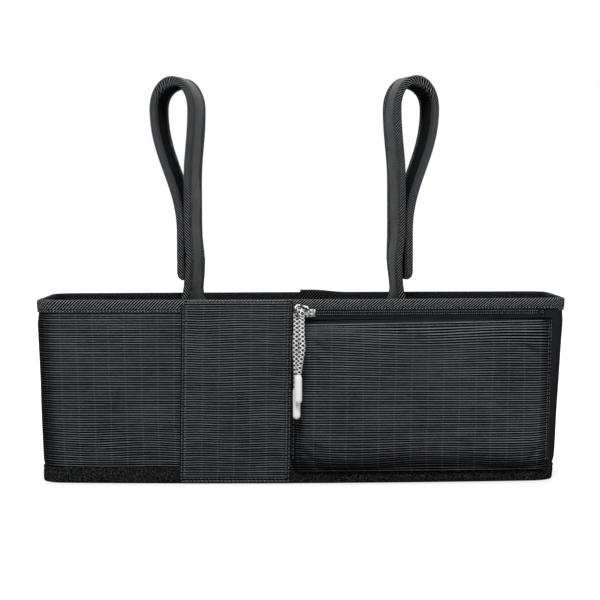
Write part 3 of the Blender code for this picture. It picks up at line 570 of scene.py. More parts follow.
def stitches(route, normal, pitch=STITCH_PITCH, length=STITCH_LENGTH, width=STITCH_WIDTH):
    """Row of stitches along a route of points; normal is a vector or gives one for a point's number."""
    route = [Vector(point) for point in route]
    items = []
    travelled = 0.0
    following = pitch / 2
    for index, (first, second) in enumerate(zip(route, route[1:])):
        run = (second - first).length
        out = normal(index) if callable(normal) else normal
        while following <= travelled + run and run > 0:
            share = (following - travelled) / run
            items.append((first.lerp(second, share), second - first, out, length, width, width * 0.7))
            following += pitch
        travelled += run
    return items


def reach(z):
    """How far the walls' outer faces lie from the middle at height z: to the right, front and rear."""
    share = (z - BASE_HIGH.z) / (WALL_TOP_Z - BASE_HIGH.z)
    right = BASE_HIGH.x + (SIDE_HIGH.x - BASE_HIGH.x) * share
    front = BASE_LOW.y + (FRONT_LOW.y - BASE_LOW.y) * share
    rear = BASE_HIGH.y + (REAR_HIGH.y - BASE_HIGH.y) * share
    return right, front, rear


def bow_arc(half, bow):
    """Arm from a bowed side's centre of curvature to the corner centres, and half its turn."""
    arm = (half ** 2 + bow ** 2) / (2 * bow)
    return arm, np.arcsin(half / arm)


def outline(place, z, out):
    """Points of the plan outline, a distance out from the walls' faces; all three may be arrays.

    place runs from 0 to 8 against the clock seen from above: front, corner, right side, corner, rear,
    corner, left side, corner.
    """
    place, z, out = np.broadcast_arrays(place, z, out)
    right, front, rear = reach(z)
    half = right - CORNER_RADIUS
    low = front + CORNER_RADIUS + FRONT_BOW
    high = rear - CORNER_RADIUS - REAR_BOW
    front_arm, front_turn = bow_arc(half, FRONT_BOW)
    rear_arm, rear_turn = bow_arc(half, REAR_BOW)
    quarter = math.pi / 2
    side = np.floor(place % 8)
    share = place % 8 - side
    arcs = (
        (0, 0, low - FRONT_BOW + front_arm, front_arm, 3 * quarter - front_turn, 3 * quarter + front_turn),
        (1, half, low, 0, 3 * quarter + front_turn, 4 * quarter),
        (3, half, high, 0, 0, quarter - rear_turn),
        (4, 0, high + REAR_BOW - rear_arm, rear_arm, quarter - rear_turn, quarter + rear_turn),
        (5, -half, high, 0, quarter + rear_turn, 2 * quarter),
        (7, -half, low, 0, 2 * quarter, 3 * quarter - front_turn),
    )
    x = np.where(side == 2, right + out, -right - out)
    y = np.where(side == 2, low + (high - low) * share, high + (low - high) * share)
    for number, centre_x, centre_y, arm, start, end in arcs:
        angle = start + (end - start) * share
        radius = arm + CORNER_RADIUS + out
        x = np.where(side == number, centre_x + radius * np.cos(angle), x)
        y = np.where(side == number, centre_y + radius * np.sin(angle), y)
    return np.stack([x + LEAN * (z - UPRIGHT_Z), y, z + 0 * x], axis=-1)


def wall_puff(z):
    """How far the padding pushes a wall's cloth out between the seams at its foot and its rim."""
    return WALL_PUFF * soft_steps(z, 0.010, 0.006) * soft_steps(WALL_TOP_Z - z, 0.0065, 0.010)


def front(x, z, out):
    """Points at a given x on the front, or on the corners beside it; all three may be arrays."""
    x, z, out = np.broadcast_arrays(x, z, out)
    right, low, _ = reach(z)
    half = right - CORNER_RADIUS
    corner_y = low + CORNER_RADIUS + FRONT_BOW
    arm, turn = bow_arc(half, FRONT_BOW)
    radius = arm + CORNER_RADIUS + out
    bowed = corner_y - FRONT_BOW + arm - np.sqrt(radius ** 2 - x ** 2)
    aside = np.abs(x) - half
    cornered = corner_y - np.sqrt(np.maximum(0.0, (CORNER_RADIUS + out) ** 2 - np.maximum(aside, 0) ** 2))
    y = np.where(np.abs(x) <= radius * np.sin(turn), bowed, cornered)
    return np.stack([x + LEAN * (z - UPRIGHT_Z), y, z + 0 * y], axis=-1)


def rear_y(x, z, out):
    """How far back the rear wall's face lies at x, a distance out from its outer face."""
    right, _, rear = reach(z)
    arm, _ = bow_arc(right - CORNER_RADIUS, REAR_BOW)
    return rear - CORNER_RADIUS - arm + np.sqrt((arm + CORNER_RADIUS + out) ** 2 - x ** 2)


def run_lengths(points):
    """Distance travelled along a line of points."""
    steps = np.linalg.norm(np.diff(np.array([tuple(point) for point in points]), axis=0), axis=1)
    return np.concatenate([[0.0], np.cumsum(steps)])


def rib_rows(low, high):
    """Heights of a ribbed cloth's rows and how proud each stands: round ribs and narrow grooves."""
    count = int(round((high - low) / RIB_PITCH * ROWS_PER_RIB))
    heights = np.linspace(low, high, count + 1)
    phase = (heights / RIB_PITCH) % 1.0
    return heights, RIB_HEIGHT * np.sqrt(np.maximum(0.0, 1 - (2 * phase - 1) ** 2))


def soft_steps(value, edge, width):
    """0 before the edge, 1 after it, and smooth over the width."""
    share = np.clip((value - edge) / width, 0.0, 1.0)
    return share * share * (3 - 2 * share)


def bump(value, middle, width):
    """1 at the middle, falling away softly on both sides."""
    return np.exp(-((value - middle) / width) ** 2)


def ripple(x, z, size):
    """Gentle uneven swell of cloth, the same every time."""
    waves = ((38.0, 21.0, 0.4), (-61.0, 47.0, 1.9), (97.0, 83.0, 4.1), (-151.0, 120.0, 2.6))
    total = 0.0
    for number, (across, up, phase) in enumerate(waves):
        total = total + np.sin(x * across + z * up + phase) / (number + 1)
    return total * size


def build_front_cloth():
    """Ribbed cloth of the front, carried round the left corner."""
    heights, proud = rib_rows(FLOOR_Z, WALL_TOP_Z)
    stops = np.concatenate([np.linspace(7.02, 8.0, 12)[:-1], np.linspace(8.0, 9.0 - 1e-3, 92)])
    place, z = np.meshgrid(stops, heights)
    along = run_lengths(outline(stops, PLAN_Z, 0.0))
    edge = soft_steps(z, FLOOR_Z, 0.012) * soft_steps(WALL_TOP_Z - z, 0.0, 0.012)
    swell = ripple(along[None, :], z, 0.00022) * edge
    wave = 0.0007 * bump(z, 0.028, 0.016) * np.sin(along[None, :] * 82.0 + z * 40.0)
    face = outline(place, z + wave * edge, proud[:, None] + swell - RIB_HEIGHT + wall_puff(z))
    back = outline(place, z, -CLOTH)
    # The cloth's place is counted from about where its painted corner shade ends
    along = along - CORNER_SHADE_RUN
    add_sheet("wall_front_cloth", "ribbed_cloth", face, back, along, heights, ("front_wall",))


def build_side_cloth(name, start, end, node):
    """Plain cloth between two places of the outline, with a soft swell between its seams."""
    stops = np.linspace(start, end, int((end - start) * 26) + 2)
    heights = np.linspace(FLOOR_Z, WALL_TOP_Z, 44)
    place, z = np.meshgrid(stops, heights)
    along = run_lengths(outline(stops, PLAN_Z, 0.0))
    edge = soft_steps(z, FLOOR_Z, 0.015) * soft_steps(WALL_TOP_Z - z, 0.0, 0.012)
    swell = ripple(along[None, :], z, 0.00035) * edge
    ends = np.minimum(soft_steps(along, 0.0, 0.003), soft_steps(along[-1] - along, 0.0, 0.003))
    face = outline(place, z, swell + wall_puff(z) - 0.0006 * (1 - ends[None, :]))
    back = outline(place, z, -CLOTH - 0.0002)
    add_sheet(name, "smooth_cloth", face, back, along, heights, (node,))


def build_lining():
    """Padded lining inside the walls, gathered a little between the dividers."""
    stops = np.linspace(0.0, 8.0, 261)
    heights = np.linspace(FLOOR_Z + 0.0025, WALL_TOP_Z, 36)
    place, z = np.meshgrid(stops, heights)
    along = run_lengths(outline(stops, PLAN_Z, -WALL_THICKNESS))
    edge = soft_steps(z, FLOOR_Z, 0.012) * soft_steps(WALL_TOP_Z - z, 0.002, 0.012)
    turn = 2 * math.pi * along[None, :] / along[-1]
    swell = (np.sin(turn * 17 + 9 * z) * 0.6 + np.sin(turn * 41 - 30 * z) * 0.4) * 0.00035 * edge
    inner = outline(place, z, -WALL_THICKNESS + swell)[:, ::-1]
    outer = outline(place, z, -CLOTH - 0.0006)[:, ::-1]
    add_sheet("wall_lining", "lining_cloth", inner, outer, along, heights, closed=True)


def plan_grid(z, out, columns=96, rows=30):
    """Level grid of points inside the outline."""
    right, _, rear = reach(z)
    x = np.sin(np.linspace(-math.pi / 2, math.pi / 2, columns)) * (right + out - 1e-5)
    low = front(x, z, out)[:, 1]
    half = right - CORNER_RADIUS
    aside = np.maximum(np.abs(x) - half, 0.0)
    bowed = rear_y(np.clip(x, -half, half), z, out)
    round_off = np.sqrt(np.maximum(0.0, (CORNER_RADIUS + out) ** 2 - aside ** 2))
    cornered = rear - CORNER_RADIUS - REAR_BOW + round_off
    high = np.where(np.abs(x) <= half, bowed, np.minimum(bowed, cornered))
    share = np.linspace(0.0, 1.0, rows)[:, None]
    y = low[None, :] * (1 - share) + high[None, :] * share
    return np.stack([np.broadcast_to(x + LEAN * (z - UPRIGHT_Z), y.shape), y, np.full(y.shape, z)], axis=-1)


def build_base():
    """Cloth under the base and a lined board on it."""
    top = plan_grid(BASE_HIGH.z, -0.0002)
    foot = plan_grid(0.0, -0.0004)
    along = run_lengths(top[15])
    up = np.linspace(0.0, 0.12, len(top))
    add_sheet("base_cloth", "smooth_cloth", top, foot, along, up, ("base_panel",))
    low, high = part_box("base_board")
    upper = plan_grid(high.z, -WALL_THICKNESS - GAP)
    upper[..., 2] += ripple(upper[..., 0], upper[..., 1], 0.0001) - 0.0002
    lower = plan_grid(low.z, -WALL_THICKNESS - GAP)
    add_sheet("floor_lining", "lining_cloth", upper, lower, along, up, ("base_board",))


def build_band():
    """Felt band round the foot, its edges soft and uneven."""
    low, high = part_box("base_band")
    stops = np.linspace(0.0, 8.0, 521)
    rows = np.linspace(0.0, 1.0, 13)
    place, share = np.meshgrid(stops, rows)
    along = run_lengths(outline(stops, 0.005, 0.0))
    turn = 2 * math.pi * along[None, :] / along[-1]
    top = high.z + 0.0009 + 0.00025 * np.sin(turn * 23) + 0.00015 * np.sin(turn * 71)
    z = low.z + (top - low.z) * share
    edge = np.sqrt(np.maximum(0.0, 1 - (2 * share - 1) ** 8))
    out = GAP + BAND_THICKNESS * (0.35 + 0.35 * edge) + 0.0002 * np.sin(turn * 31 + share * 2) * edge
    face = outline(place, z, out - 0.0004 * bump(z, 0.0084, 0.0006))
    back = outline(place, z, GAP)
    add_sheet("foot_band", "felt", face, back, along, rows * 0.011, ("base_band",), closed=True)


def rim_drop(x):
    """How far the rim tape comes down outside: further on the plain wall than over the zip."""
    return RIM_DROP_PLAIN + (RIM_DROP_ZIP - RIM_DROP_PLAIN) * soft_steps(x, PANEL_LOW.x, 0.04)


def build_rim_tape():
    """Twill tape folded over the rim, its end lapped over its start at the middle of the rear."""
    lap = 0.0095 / 0.37
    rear_middle = 4.5
    stops = np.linspace(rear_middle - lap, rear_middle + 8.0, 486)
    lift = (RIM_TAPE_THICKNESS + GAP) * soft_steps(stops, rear_middle + 8.0 - lap * 4, lap * 3)
    middle = outline(stops, WALL_TOP_Z, 0.0)
    along = run_lengths(middle)
    drop = np.where((stops > 7.5) & (stops < 9.5), rim_drop(middle[:, 0]), RIM_DROP_PLAIN)
    outer_face = GAP + RIM_TAPE_FACE
    inner_face = -WALL_THICKNESS - GAP - RIM_TAPE_THICKNESS
    fold = 0.0021
    crown = WALL_TOP_Z + GAP + RIM_TAPE_THICKNESS - fold
    quarter = np.linspace(0.0, math.pi / 2, 5)
    # Each row of the tape: how far out its face and back lie, its height at the fold, its share of the
    # way down from there, and the tape's whole drop on that side
    profile = []
    for share in np.linspace(0.0, 1.0, 13):
        dent = 0.00040 * bump(share, 0.24, 0.07) + 0.0006 * max(0.0, 0.06 - share) / 0.06
        profile.append((outer_face - dent, GAP, crown, 1 - share, drop))
    for angle in quarter[1:]:
        out = outer_face - fold + fold * math.cos(angle)
        profile.append((out, GAP * (1 - angle), crown + fold * math.sin(angle), 0.0, drop))
    for angle in quarter:
        out = inner_face + fold - fold * math.sin(angle)
        profile.append((out, -WALL_THICKNESS - GAP * angle, crown + fold * math.cos(angle), 0.0, drop))
    for share in np.linspace(0.0, 1.0, 11)[1:]:
        dent = 0.00035 * bump(share, 0.76, 0.08)
        profile.append((inner_face + dent, -WALL_THICKNESS - GAP, crown, share, RIM_DROP_ZIP))
    wobble = 0.00012 * np.sin(along * 190.0) + 0.0001 * np.sin(along * 71.0)
    face = []
    back = []
    for out, back_out, high, share, hanging in profile:
        outward = 1.0 if out > -WALL_THICKNESS / 2 else -1.0
        low = BODY_HEIGHT - hanging
        z = high + lift - (high + lift - low) * share
        face.append(outline(stops, z, out + outward * (lift + wobble)))
        z = np.minimum(high - (high - low) * share, WALL_TOP_Z + GAP) + lift
        back.append(outline(stops, z, back_out + outward * lift))
    face = np.array(face)
    up = run_lengths(face[:, 100])
    add_sheet("rim_binding", "twill_tape", face, np.array(back), along, up, ("rim_tape",))
    outward = [Vector(outline(stop, 0.1, 1.0) - outline(stop, 0.1, 0.0)) for stop in stops]
    sewn = 480
    items = stitches(face[3, :sewn], lambda index: outward[index])
    return items + stitches(face[-3, :sewn], lambda index: -outward[index])


def fine_ends(length, left, right, counts):
    """Places along a length, close together near both of its ends; counts are for left, middle and right."""
    return np.concatenate([np.linspace(0, left, counts[0])[:-1],
                           np.linspace(left, length - right, counts[1])[:-1],
                           np.linspace(length - right, length, counts[2])])


def build_centre_panel():
    """Flat ribbed panel with round corners, sewn down by two rows of stitches."""
    seat = GAP + RIM_TAPE_THICKNESS + GAP
    left, right = PANEL_LOW.x, PANEL_HIGH.x
    low, high = PANEL_LOW.z, PANEL_HIGH.z
    heights, proud = rib_rows(low, high)
    columns = fine_ends(PANEL_WIDTH, 0.006, 0.006, (13, 19, 13))
    step, z = np.meshgrid(columns, heights)
    near_z = np.minimum(z - low, high - z)
    near_x = np.minimum(step, PANEL_WIDTH - step)
    corner = np.maximum(0.0, PANEL_CORNER - near_z)
    inset = PANEL_CORNER - np.sqrt(np.maximum(0.0, PANEL_CORNER ** 2 - corner ** 2))
    x = left + inset + (PANEL_WIDTH - 2 * inset) * step / PANEL_WIDTH
    inside = np.minimum(near_z, near_x)
    to_edge = 1 - np.clip(inside / 0.0011, 0, 1)
    rounding = PANEL_CLOTH * 0.75 * (1 - np.sqrt(np.clip(1 - to_edge ** 2, 0, 1)))
    dents = sum(0.00032 * bump(inside, margin, 0.0004) for margin in PANEL_SEAMS)
    swell = ripple(step, z, 0.00028) * soft_steps(inside, 0.004, 0.012)
    out = seat + PANEL_CLOTH - RIB_HEIGHT + proud[:, None] * soft_steps(inside, 0.0003, 0.0006)
    face = front(x, z, out - rounding - dents + swell)
    face[..., 2] += 0.0004 * np.sin(step * 95 + z * 33) * soft_steps(inside, 0.004, 0.01)
    lowered = np.where((z < BODY_HEIGHT - RIM_DROP_PLAIN) & (z > 0.012), GAP, seat)
    back = front(x, z, lowered)
    add_sheet("front_panel_cloth", "panel_cloth", face, back, columns, heights, ("centre_panel",))
    items = []
    for margin in PANEL_SEAMS:
        across = np.linspace(left + margin, right - margin, 40)
        up = np.linspace(low + margin, high - margin, 40)
        for x, z in ((across[0], up[::-1]), (across, up[0]), (across[-1], up), (across[::-1], up[-1])):
            items += stitches(front(x, z, seat + PANEL_CLOTH), Vector((0.0, -1.0, 0.0)))
    return items


# Zip, straight in plan
ZIP_LOW, ZIP_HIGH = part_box("zip_tape_upper")
ZIP_Z = ZIP_LOW.z - 0.00015
LOWER_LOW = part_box("zip_tape_lower")[0]
CHAIN_LOW, CHAIN_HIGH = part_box("zip_teeth")
ZIP_TURN = math.atan2(frame["joints"][0]["axis"][1], frame["joints"][0]["axis"][0])
ZIP_ALONG = Vector((math.cos(ZIP_TURN), math.sin(ZIP_TURN), 0.0))
ZIP_OUTWARD = Vector((ZIP_ALONG.y, -ZIP_ALONG.x, 0.0))
ZIP_START = Vector((ZIP_LOW.x, ZIP_HIGH.y - (ZIP_HIGH.x - ZIP_LOW.x) * math.tan(ZIP_TURN), 0.0))
TAPE_THICKNESS = 0.0007
CHAIN_BACK = TAPE_THICKNESS + GAP
TOOTH_PITCH = 0.0015


def zip_point(x, z, out):
    """Point at x and height z, a distance out from the plane of the zip's back."""
    travel = (x - ZIP_START.x) / ZIP_ALONG.x
    return ZIP_START + ZIP_ALONG * travel + ZIP_OUTWARD * out + Vector((0.0, 0.0, z))


def pocket_seat(x, z):
    """Where the pocket's edge lies: on the wall, on the felt band or on the lower zip tape."""
    band_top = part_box("base_band")[1].z + GAP
    seat = np.where(z < band_top, GAP + BAND_THICKNESS + GAP, GAP)
    wall = front(x, z, 0.0)[..., 1]
    travel = (np.minimum(x, ZIP_HIGH.x) - ZIP_START.x) / ZIP_ALONG.x
    tape = ZIP_START.y + ZIP_ALONG.y * travel + ZIP_OUTWARD.y * (TAPE_THICKNESS + GAP)
    return np.where(z > LOWER_LOW.z - GAP, np.maximum(GAP, wall - tape), seat)


def pocket_out(x, z):
    """How far out the pocket's cloth lies, puffed up from its sewn edge."""
    rises = (
        (x - POCKET_LOW.x - POCKET_HEM, RISE_LEFT),
        (POCKET_HIGH.x - x - POCKET_HEM, RISE_RIGHT),
        (z - POCKET_LOW.z - POCKET_HEM, RISE_BOTTOM),
        (POCKET_TOP - z - POCKET_HEM / 2, RISE_TOP),
    )
    proud = POCKET_PUFF
    for distance, width in rises:
        proud = proud * np.sin(np.clip(distance / width, 0.0, 1.0) * math.pi / 2)
    return pocket_seat(x, z) + CLOTH + proud


def seam_climb(x):
    """How far the seam under the smooth band is off its level: low at the left, high at the right."""
    return -0.0005 + 0.0022 * (x - POCKET_LOW.x) / POCKET_WIDTH


def rib_slant(x, z):
    """How far the pocket's ribs are off their level: down to the right, and along the seam at the top."""
    top = soft_steps(z, POCKET_HIGH.z - 0.016, 0.016)
    middle = soft_steps(z, 0.030, 0.040) * (1 - top)
    return seam_climb(x) * top + 0.0024 * (0.4 - (x - POCKET_LOW.x) / POCKET_WIDTH) * middle


def crease(x, z, start, end, width, depth):
    """A fold pressed into cloth along a line, deepest in its middle."""
    run = np.array(end) - np.array(start)
    share = np.clip(((x - start[0]) * run[0] + (z - start[1]) * run[1]) / (run @ run), 0.0, 1.0)
    aside = np.hypot(x - start[0] - run[0] * share, z - start[1] - run[1] * share)
    return -depth * bump(aside, 0.0, width) * np.sin(math.pi * np.clip(share, 0.05, 0.95))


# Where each fold starts and ends, its width and its depth
POCKET_FOLDS = (
    ((0.0060, 0.100), (0.0230, 0.086), 0.0026, 0.0026),
    ((0.0050, 0.093), (0.0150, 0.079), 0.0022, 0.0022),
    ((0.1500, 0.098), (0.1690, 0.089), 0.0024, 0.0026),
    ((0.0020, 0.024), (0.0150, 0.012), 0.0020, 0.0030),
    ((0.0030, 0.033), (0.0200, 0.018), 0.0024, 0.0024),
    ((0.1570, 0.013), (0.1720, 0.028), 0.0024, 0.0024),
    ((0.0600, 0.014), (0.0900, 0.020), 0.0036, 0.0010),
    ((0.1050, 0.013), (0.1350, 0.018), 0.0036, 0.0010),
)


def corner_inset(height, radius):
    """How far a round lower corner is in from the side, at a height above the foot."""
    below = np.clip(radius - height, 0.0, radius)
    return radius - np.sqrt(radius ** 2 - below ** 2)


def build_pocket():
    """Puffed ribbed panel of the pocket, and the smooth band above it up to the zip."""
    left, right = POCKET_LOW.x, POCKET_HIGH.x
    low, high = POCKET_LOW.z, POCKET_HIGH.z
    heights, proud = rib_rows(low, high)
    columns = fine_ends(POCKET_WIDTH, 0.012, 0.018, (17, 72, 19))
    step, z = np.meshgrid(columns, heights)
    x = left + step + corner_inset(z - low, POCKET_CORNERS[0]) * (1 - step / POCKET_WIDTH)
    x = x - corner_inset(z - low, POCKET_CORNERS[1]) * step / POCKET_WIDTH
    hem = np.minimum(np.minimum(step, POCKET_WIDTH - step), np.minimum(z - low, high - z))
    inner = soft_steps(hem, 0.001, 0.006)
    high_wave = 0.0009 * np.sin(x * 47 + 1.0) * soft_steps(z, 0.06, 0.04)
    low_wave = 0.0011 * np.sin(x * 61 + 2.2) * soft_steps(0.04 - z, 0.0, 0.03)
    climb = (high_wave + low_wave) * inner + rib_slant(x, z)
    seam = 0.00045 * bump(high - z, 0.0022, 0.0006)
    seam = seam + sum(0.0003 * bump(POCKET_WIDTH - step, row, 0.0005) for row in POCKET_SEAMS)
    folds = sum(crease(x, z, *fold) for fold in POCKET_FOLDS)
    out = pocket_out(x, z) + proud[:, None] - RIB_HEIGHT + folds + ripple(x, z, 0.00045) * inner - seam
    out = np.maximum(out, pocket_seat(x, z) + 0.0005)
    face = front(x, z, out)
    back = front(x, z, np.maximum(pocket_seat(x, z), out - CLOTH * 1.6))
    face[..., 2] += climb
    back[..., 2] += climb
    add_sheet("pocket_ribbed_cloth", "pocket_cloth", face, back, columns, heights, ("pocket_panel",))

    heights = np.linspace(high + 0.0002, POCKET_TOP, 12)
    step, z = np.meshgrid(columns, heights)
    x = left + step
    out = pocket_out(x, z) - 0.0005 * bump(z, high, 0.0009) + ripple(x, z, 0.0002)
    out = np.maximum(out, pocket_seat(x, z) + 0.0005)
    climb = seam_climb(x) * (POCKET_TOP - z) / (POCKET_TOP - high)
    face = front(x, z + climb, out)
    back = front(x, z + climb, np.maximum(pocket_seat(x, z), out - CLOTH * 1.4))
    add_sheet("pocket_band_cloth", "smooth_cloth", face, back, columns, heights, ("pocket_top_band",))

    x = np.linspace(left + 0.001, right - 0.001, 90)
    route = front(x, high + 0.0001 + seam_climb(x), pocket_out(x, high) - 0.0003)
    add_piece("pocket_piping", tube_mesh(route, 0.0011, 8), "smooth_cloth")

    x = np.linspace(left + 0.003, right - 0.002, 90)
    z = high - 0.0022
    items = stitches(front(x, z + seam_climb(x), pocket_out(x, z) - 0.00035), Vector((0.0, -1.0, 0.25)))
    for x, first, last, sunk, lean in ((right - POCKET_SEAMS[0], 0.006, 0.003, 0.0002, 0.25),
                                       (right - POCKET_SEAMS[1], 0.006, 0.003, 0.0002, 0.25),
                                       (left + 0.0012, 0.009, 0.004, 0.0, -0.25)):
        z = np.linspace(low + first, POCKET_TOP - last, 60)
        items += stitches(front(x, z, pocket_out(x, z) - sunk), Vector((lean, -1.0, 0.0)))
    return items


def tube_mesh(points, diameter, sides=CORD_SIDES):
    """Round tube through points, laid out with its turn across and its length along, in metres."""
    points = [Vector(point) for point in points]
    along = run_lengths(points)
    normal = (points[1] - points[0]).normalized().orthogonal().normalized()
    rings = []
    for index, point in enumerate(points):
        before = points[max(0, index - 1)]
        after = points[min(len(points) - 1, index + 1)]
        tangent = (after - before).normalized()
        normal = (normal - tangent * normal.dot(tangent)).normalized()
        across = tangent.cross(normal)
        width = diameter(along[index]) if callable(diameter) else diameter
        rings.append([point + (normal * math.cos(turn) + across * math.sin(turn)) * width / 2
                      for turn in np.linspace(0, 2 * math.pi, sides, endpoint=False)])
    return swept_mesh(rings, lambda ring, turn: (turn / sides, along[ring]))


def smooth_path(points, spacing):
    """Points a spacing apart on the smooth curve through the route's own points."""
    points = [Vector(point) for point in points]
    padded = [points[0] * 2 - points[1]] + points + [points[-1] * 2 - points[-2]]
    path = []
    for index in range(1, len(padded) - 2):
        before, first, second, after = padded[index - 1:index + 3]
        count = max(1, round((second - first).length / spacing))
        for step in range(count):
            t = step / count
            path.append(0.5 * (2 * first + (second - before) * t
                               + (2 * before - 5 * first + 4 * second - after) * t ** 2
                               + (3 * first - before - 3 * second + after) * t ** 3))
    return path + [points[-1]]


def build_zip():
    """Zip tapes with a woven edge, and the coil's teeth in a closed row."""
    columns = np.linspace(ZIP_LOW.x, ZIP_HIGH.x, 90)
    for node, low, high in (("zip_tape_upper", ZIP_LOW.z, ZIP_HIGH.z),
                            ("zip_tape_lower", LOWER_LOW.z, ZIP_LOW.z - GAP)):
        heights = np.linspace(low, high, 10)
        woven = [TAPE_THICKNESS + 0.00008 * math.sin(x * 900) for x in columns]
        face = np.array([[zip_point(x, z, out) for x, out in zip(columns, woven)] for z in heights])
        back = np.array([[zip_point(x, z, 0.0) for x in columns] for z in heights])
        add_sheet(node + "_cloth", "smooth_cloth", face, back, columns, heights, (node,))
    items = []
    start = CHAIN_LOW.x
    for tooth in range(int((CHAIN_HIGH.x - start) / TOOTH_PITCH)):
        x = start + (tooth + 0.5) * TOOTH_PITCH
        for side in (-1, 1):
            centre = zip_point(x + side * TOOTH_PITCH * 0.12, ZIP_Z + side * 0.00062, CHAIN_BACK + 0.00045)
            direction = Vector((side * 0.25 * ZIP_ALONG.x, 0, 1.0))
            items.append((centre, direction, ZIP_OUTWARD, 0.0015, 0.00080, 0.0011))
    capsules("zip_coil", items, "black_nylon", ("zip_teeth",))
    items = []
    for z in (ZIP_Z - 0.0009, ZIP_Z + 0.0009):
        route = [zip_point(x, z, CHAIN_BACK + 0.00100) for x in np.linspace(start, CHAIN_HIGH.x, 60)]
        items += stitches(route, ZIP_OUTWARD, 0.0015, 0.00085, 0.00055)
    return items


def build_metal():
    """Slider, its ring and the zip's stops: their CAD shapes with their own finishes."""
    for node, finish in (("zip_slider", "dark_metal"), ("zip_stop_left", "black_nylon"),
                         ("zip_stop_right", "black_nylon"), ("pull_ring", "steel")):
        piece = frame["nodes"][node]
        for slot in piece.material_slots:
            slot.material = FINISHES[finish]
        if not piece.material_slots:
            piece.data.materials.append(FINISHES[finish])


def leg_path(start, route):
    """Smooth path of a leg of the cord, from its start down its route."""
    start = Vector(start)
    turns = [start + Vector((across, -forward, up)) for across, forward, up in route]
    return smooth_path([start, start - Vector((0.0, 0.0, 0.002))] + turns, CORD_DIAMETER * 0.18)


def build_tip(name, top, length, node):
    """Moulded tip over the cord's end: a collar, a long bead and a round foot."""
    half = TIP_DIAMETER / 2
    profile = [(0.0, 0.62), (0.0002, 0.78), (0.0009, 0.84), (0.0016, 0.86), (0.0022, 0.98), (0.0032, 1.0)]
    profile += [(depth, 1.0) for depth in np.linspace(0.0032, length - half, 8)[1:]]
    for turn in np.linspace(0, math.pi / 2, 9)[1:]:
        profile.append((length - half + half * math.sin(turn) * 0.995, max(0.05, math.cos(turn))))
    depths, widths = zip(*profile)
    points = [top - Vector((0.0, 0.0, CORD_GAP + depth)) for depth in depths]
    mesh = tube_mesh(points, lambda travel: TIP_DIAMETER * float(np.interp(travel, depths, widths)), 28)
    return add_piece(name, mesh, "white_plastic", (node,), "zip_pull", 50)


def build_cord():
    """The cord's bight over the ring, its two legs and their tips."""
    lift = Vector((0.0, 0.0, BIGHT_DROP + CORD_GAP))
    front_end = Vector(SHORT_START) + lift
    rear_end = Vector(LONG_START) + lift
    middle = (front_end + rear_end) / 2
    arm = (front_end - rear_end) / 2
    bight = [middle + arm * math.cos(angle) + Vector((0.0, 0.0, arm.length * math.sin(angle)))
             for angle in np.linspace(0.0, math.pi, 25)]
    bight = [front_end - lift] + bight + [rear_end - lift]
    add_piece("cord_bight", tube_mesh(bight, CORD_DIAMETER), "cord_braid", ("pull_cord_bight",), "zip_pull")
    for label, start, route, length, tip_length in (("short", SHORT_START, SHORT_LEG, SHORT_LENGTH, 0.020),
                                                    ("long", LONG_START, LONG_LEG, LONG_LENGTH, 0.022)):
        path = leg_path(start, route)
        node = "pull_cord_" + label + "_leg"
        mesh = tube_mesh(path, CORD_DIAMETER)
        leg = add_piece("cord_" + label + "_leg", mesh, "cord_braid", (node,), "zip_pull")
        tip = build_tip("cord_" + label + "_tip", path[-1], tip_length, "cord_tip_" + label)
        [tuple(point) for point in path]


def bezier(start, first, second, end, count):
    """Points of a cubic curve, without the first."""
    start, first, second, end = (Vector(point) for point in (start, first, second, end))
    return [start * (1 - t) ** 3 + first * 3 * t * (1 - t) ** 2 + second * 3 * t * t * (1 - t) + end * t ** 3
            for t in np.linspace(0.0, 1.0, count + 1)[1:]]


def loop_route():
    """Loop of a strap as (outward, height) points, from where it turns edge-on to its free end."""
    share = 0.55
    top = LOOP_TOP_Z - STRAP_THICKNESS / 2
    climb = LOOP_WIDE_Z + (top - LOOP_WIDE_Z) * share
    rise_out = (LOOP_CROWN + LOOP_BULGE) * share
    fall_out = (LOOP_REACH - LOOP_CROWN) * share
    opening = (LOOP_WIDE_Z - STRAP_PART_Z) * 0.4
    closing = (LOOP_WIDE_Z - STRAP_MEET_Z) * 0.4
    parting = (0.0, STRAP_PART_Z)
    bulge = (-LOOP_BULGE, LOOP_WIDE_Z)
    crown = (LOOP_CROWN, top)
    far = (LOOP_REACH, LOOP_WIDE_Z)
    meeting = (LAYER_STEP, STRAP_MEET_Z)
    route = [Vector((0.0, z)) for z in np.linspace(STRAP_TURNED_Z, STRAP_PART_Z, 24)]
    route += bezier(parting, (0.0, STRAP_PART_Z + opening), (-LOOP_BULGE, LOOP_WIDE_Z - opening), bulge, 20)
    route += bezier(bulge, (-LOOP_BULGE, climb), (LOOP_CROWN - rise_out, top), crown, 24)
    route += bezier(crown, (LOOP_CROWN + fall_out, top), (LOOP_REACH, climb), far, 24)
    inward = (LAYER_STEP, STRAP_MEET_Z + closing)
    route += bezier(far, (LOOP_REACH, LOOP_WIDE_Z - closing), inward, meeting, 28)
    return route + [Vector((LAYER_STEP, z)) for z in np.linspace(STRAP_MEET_Z, STRAP_END_Z, 20)[1:]]


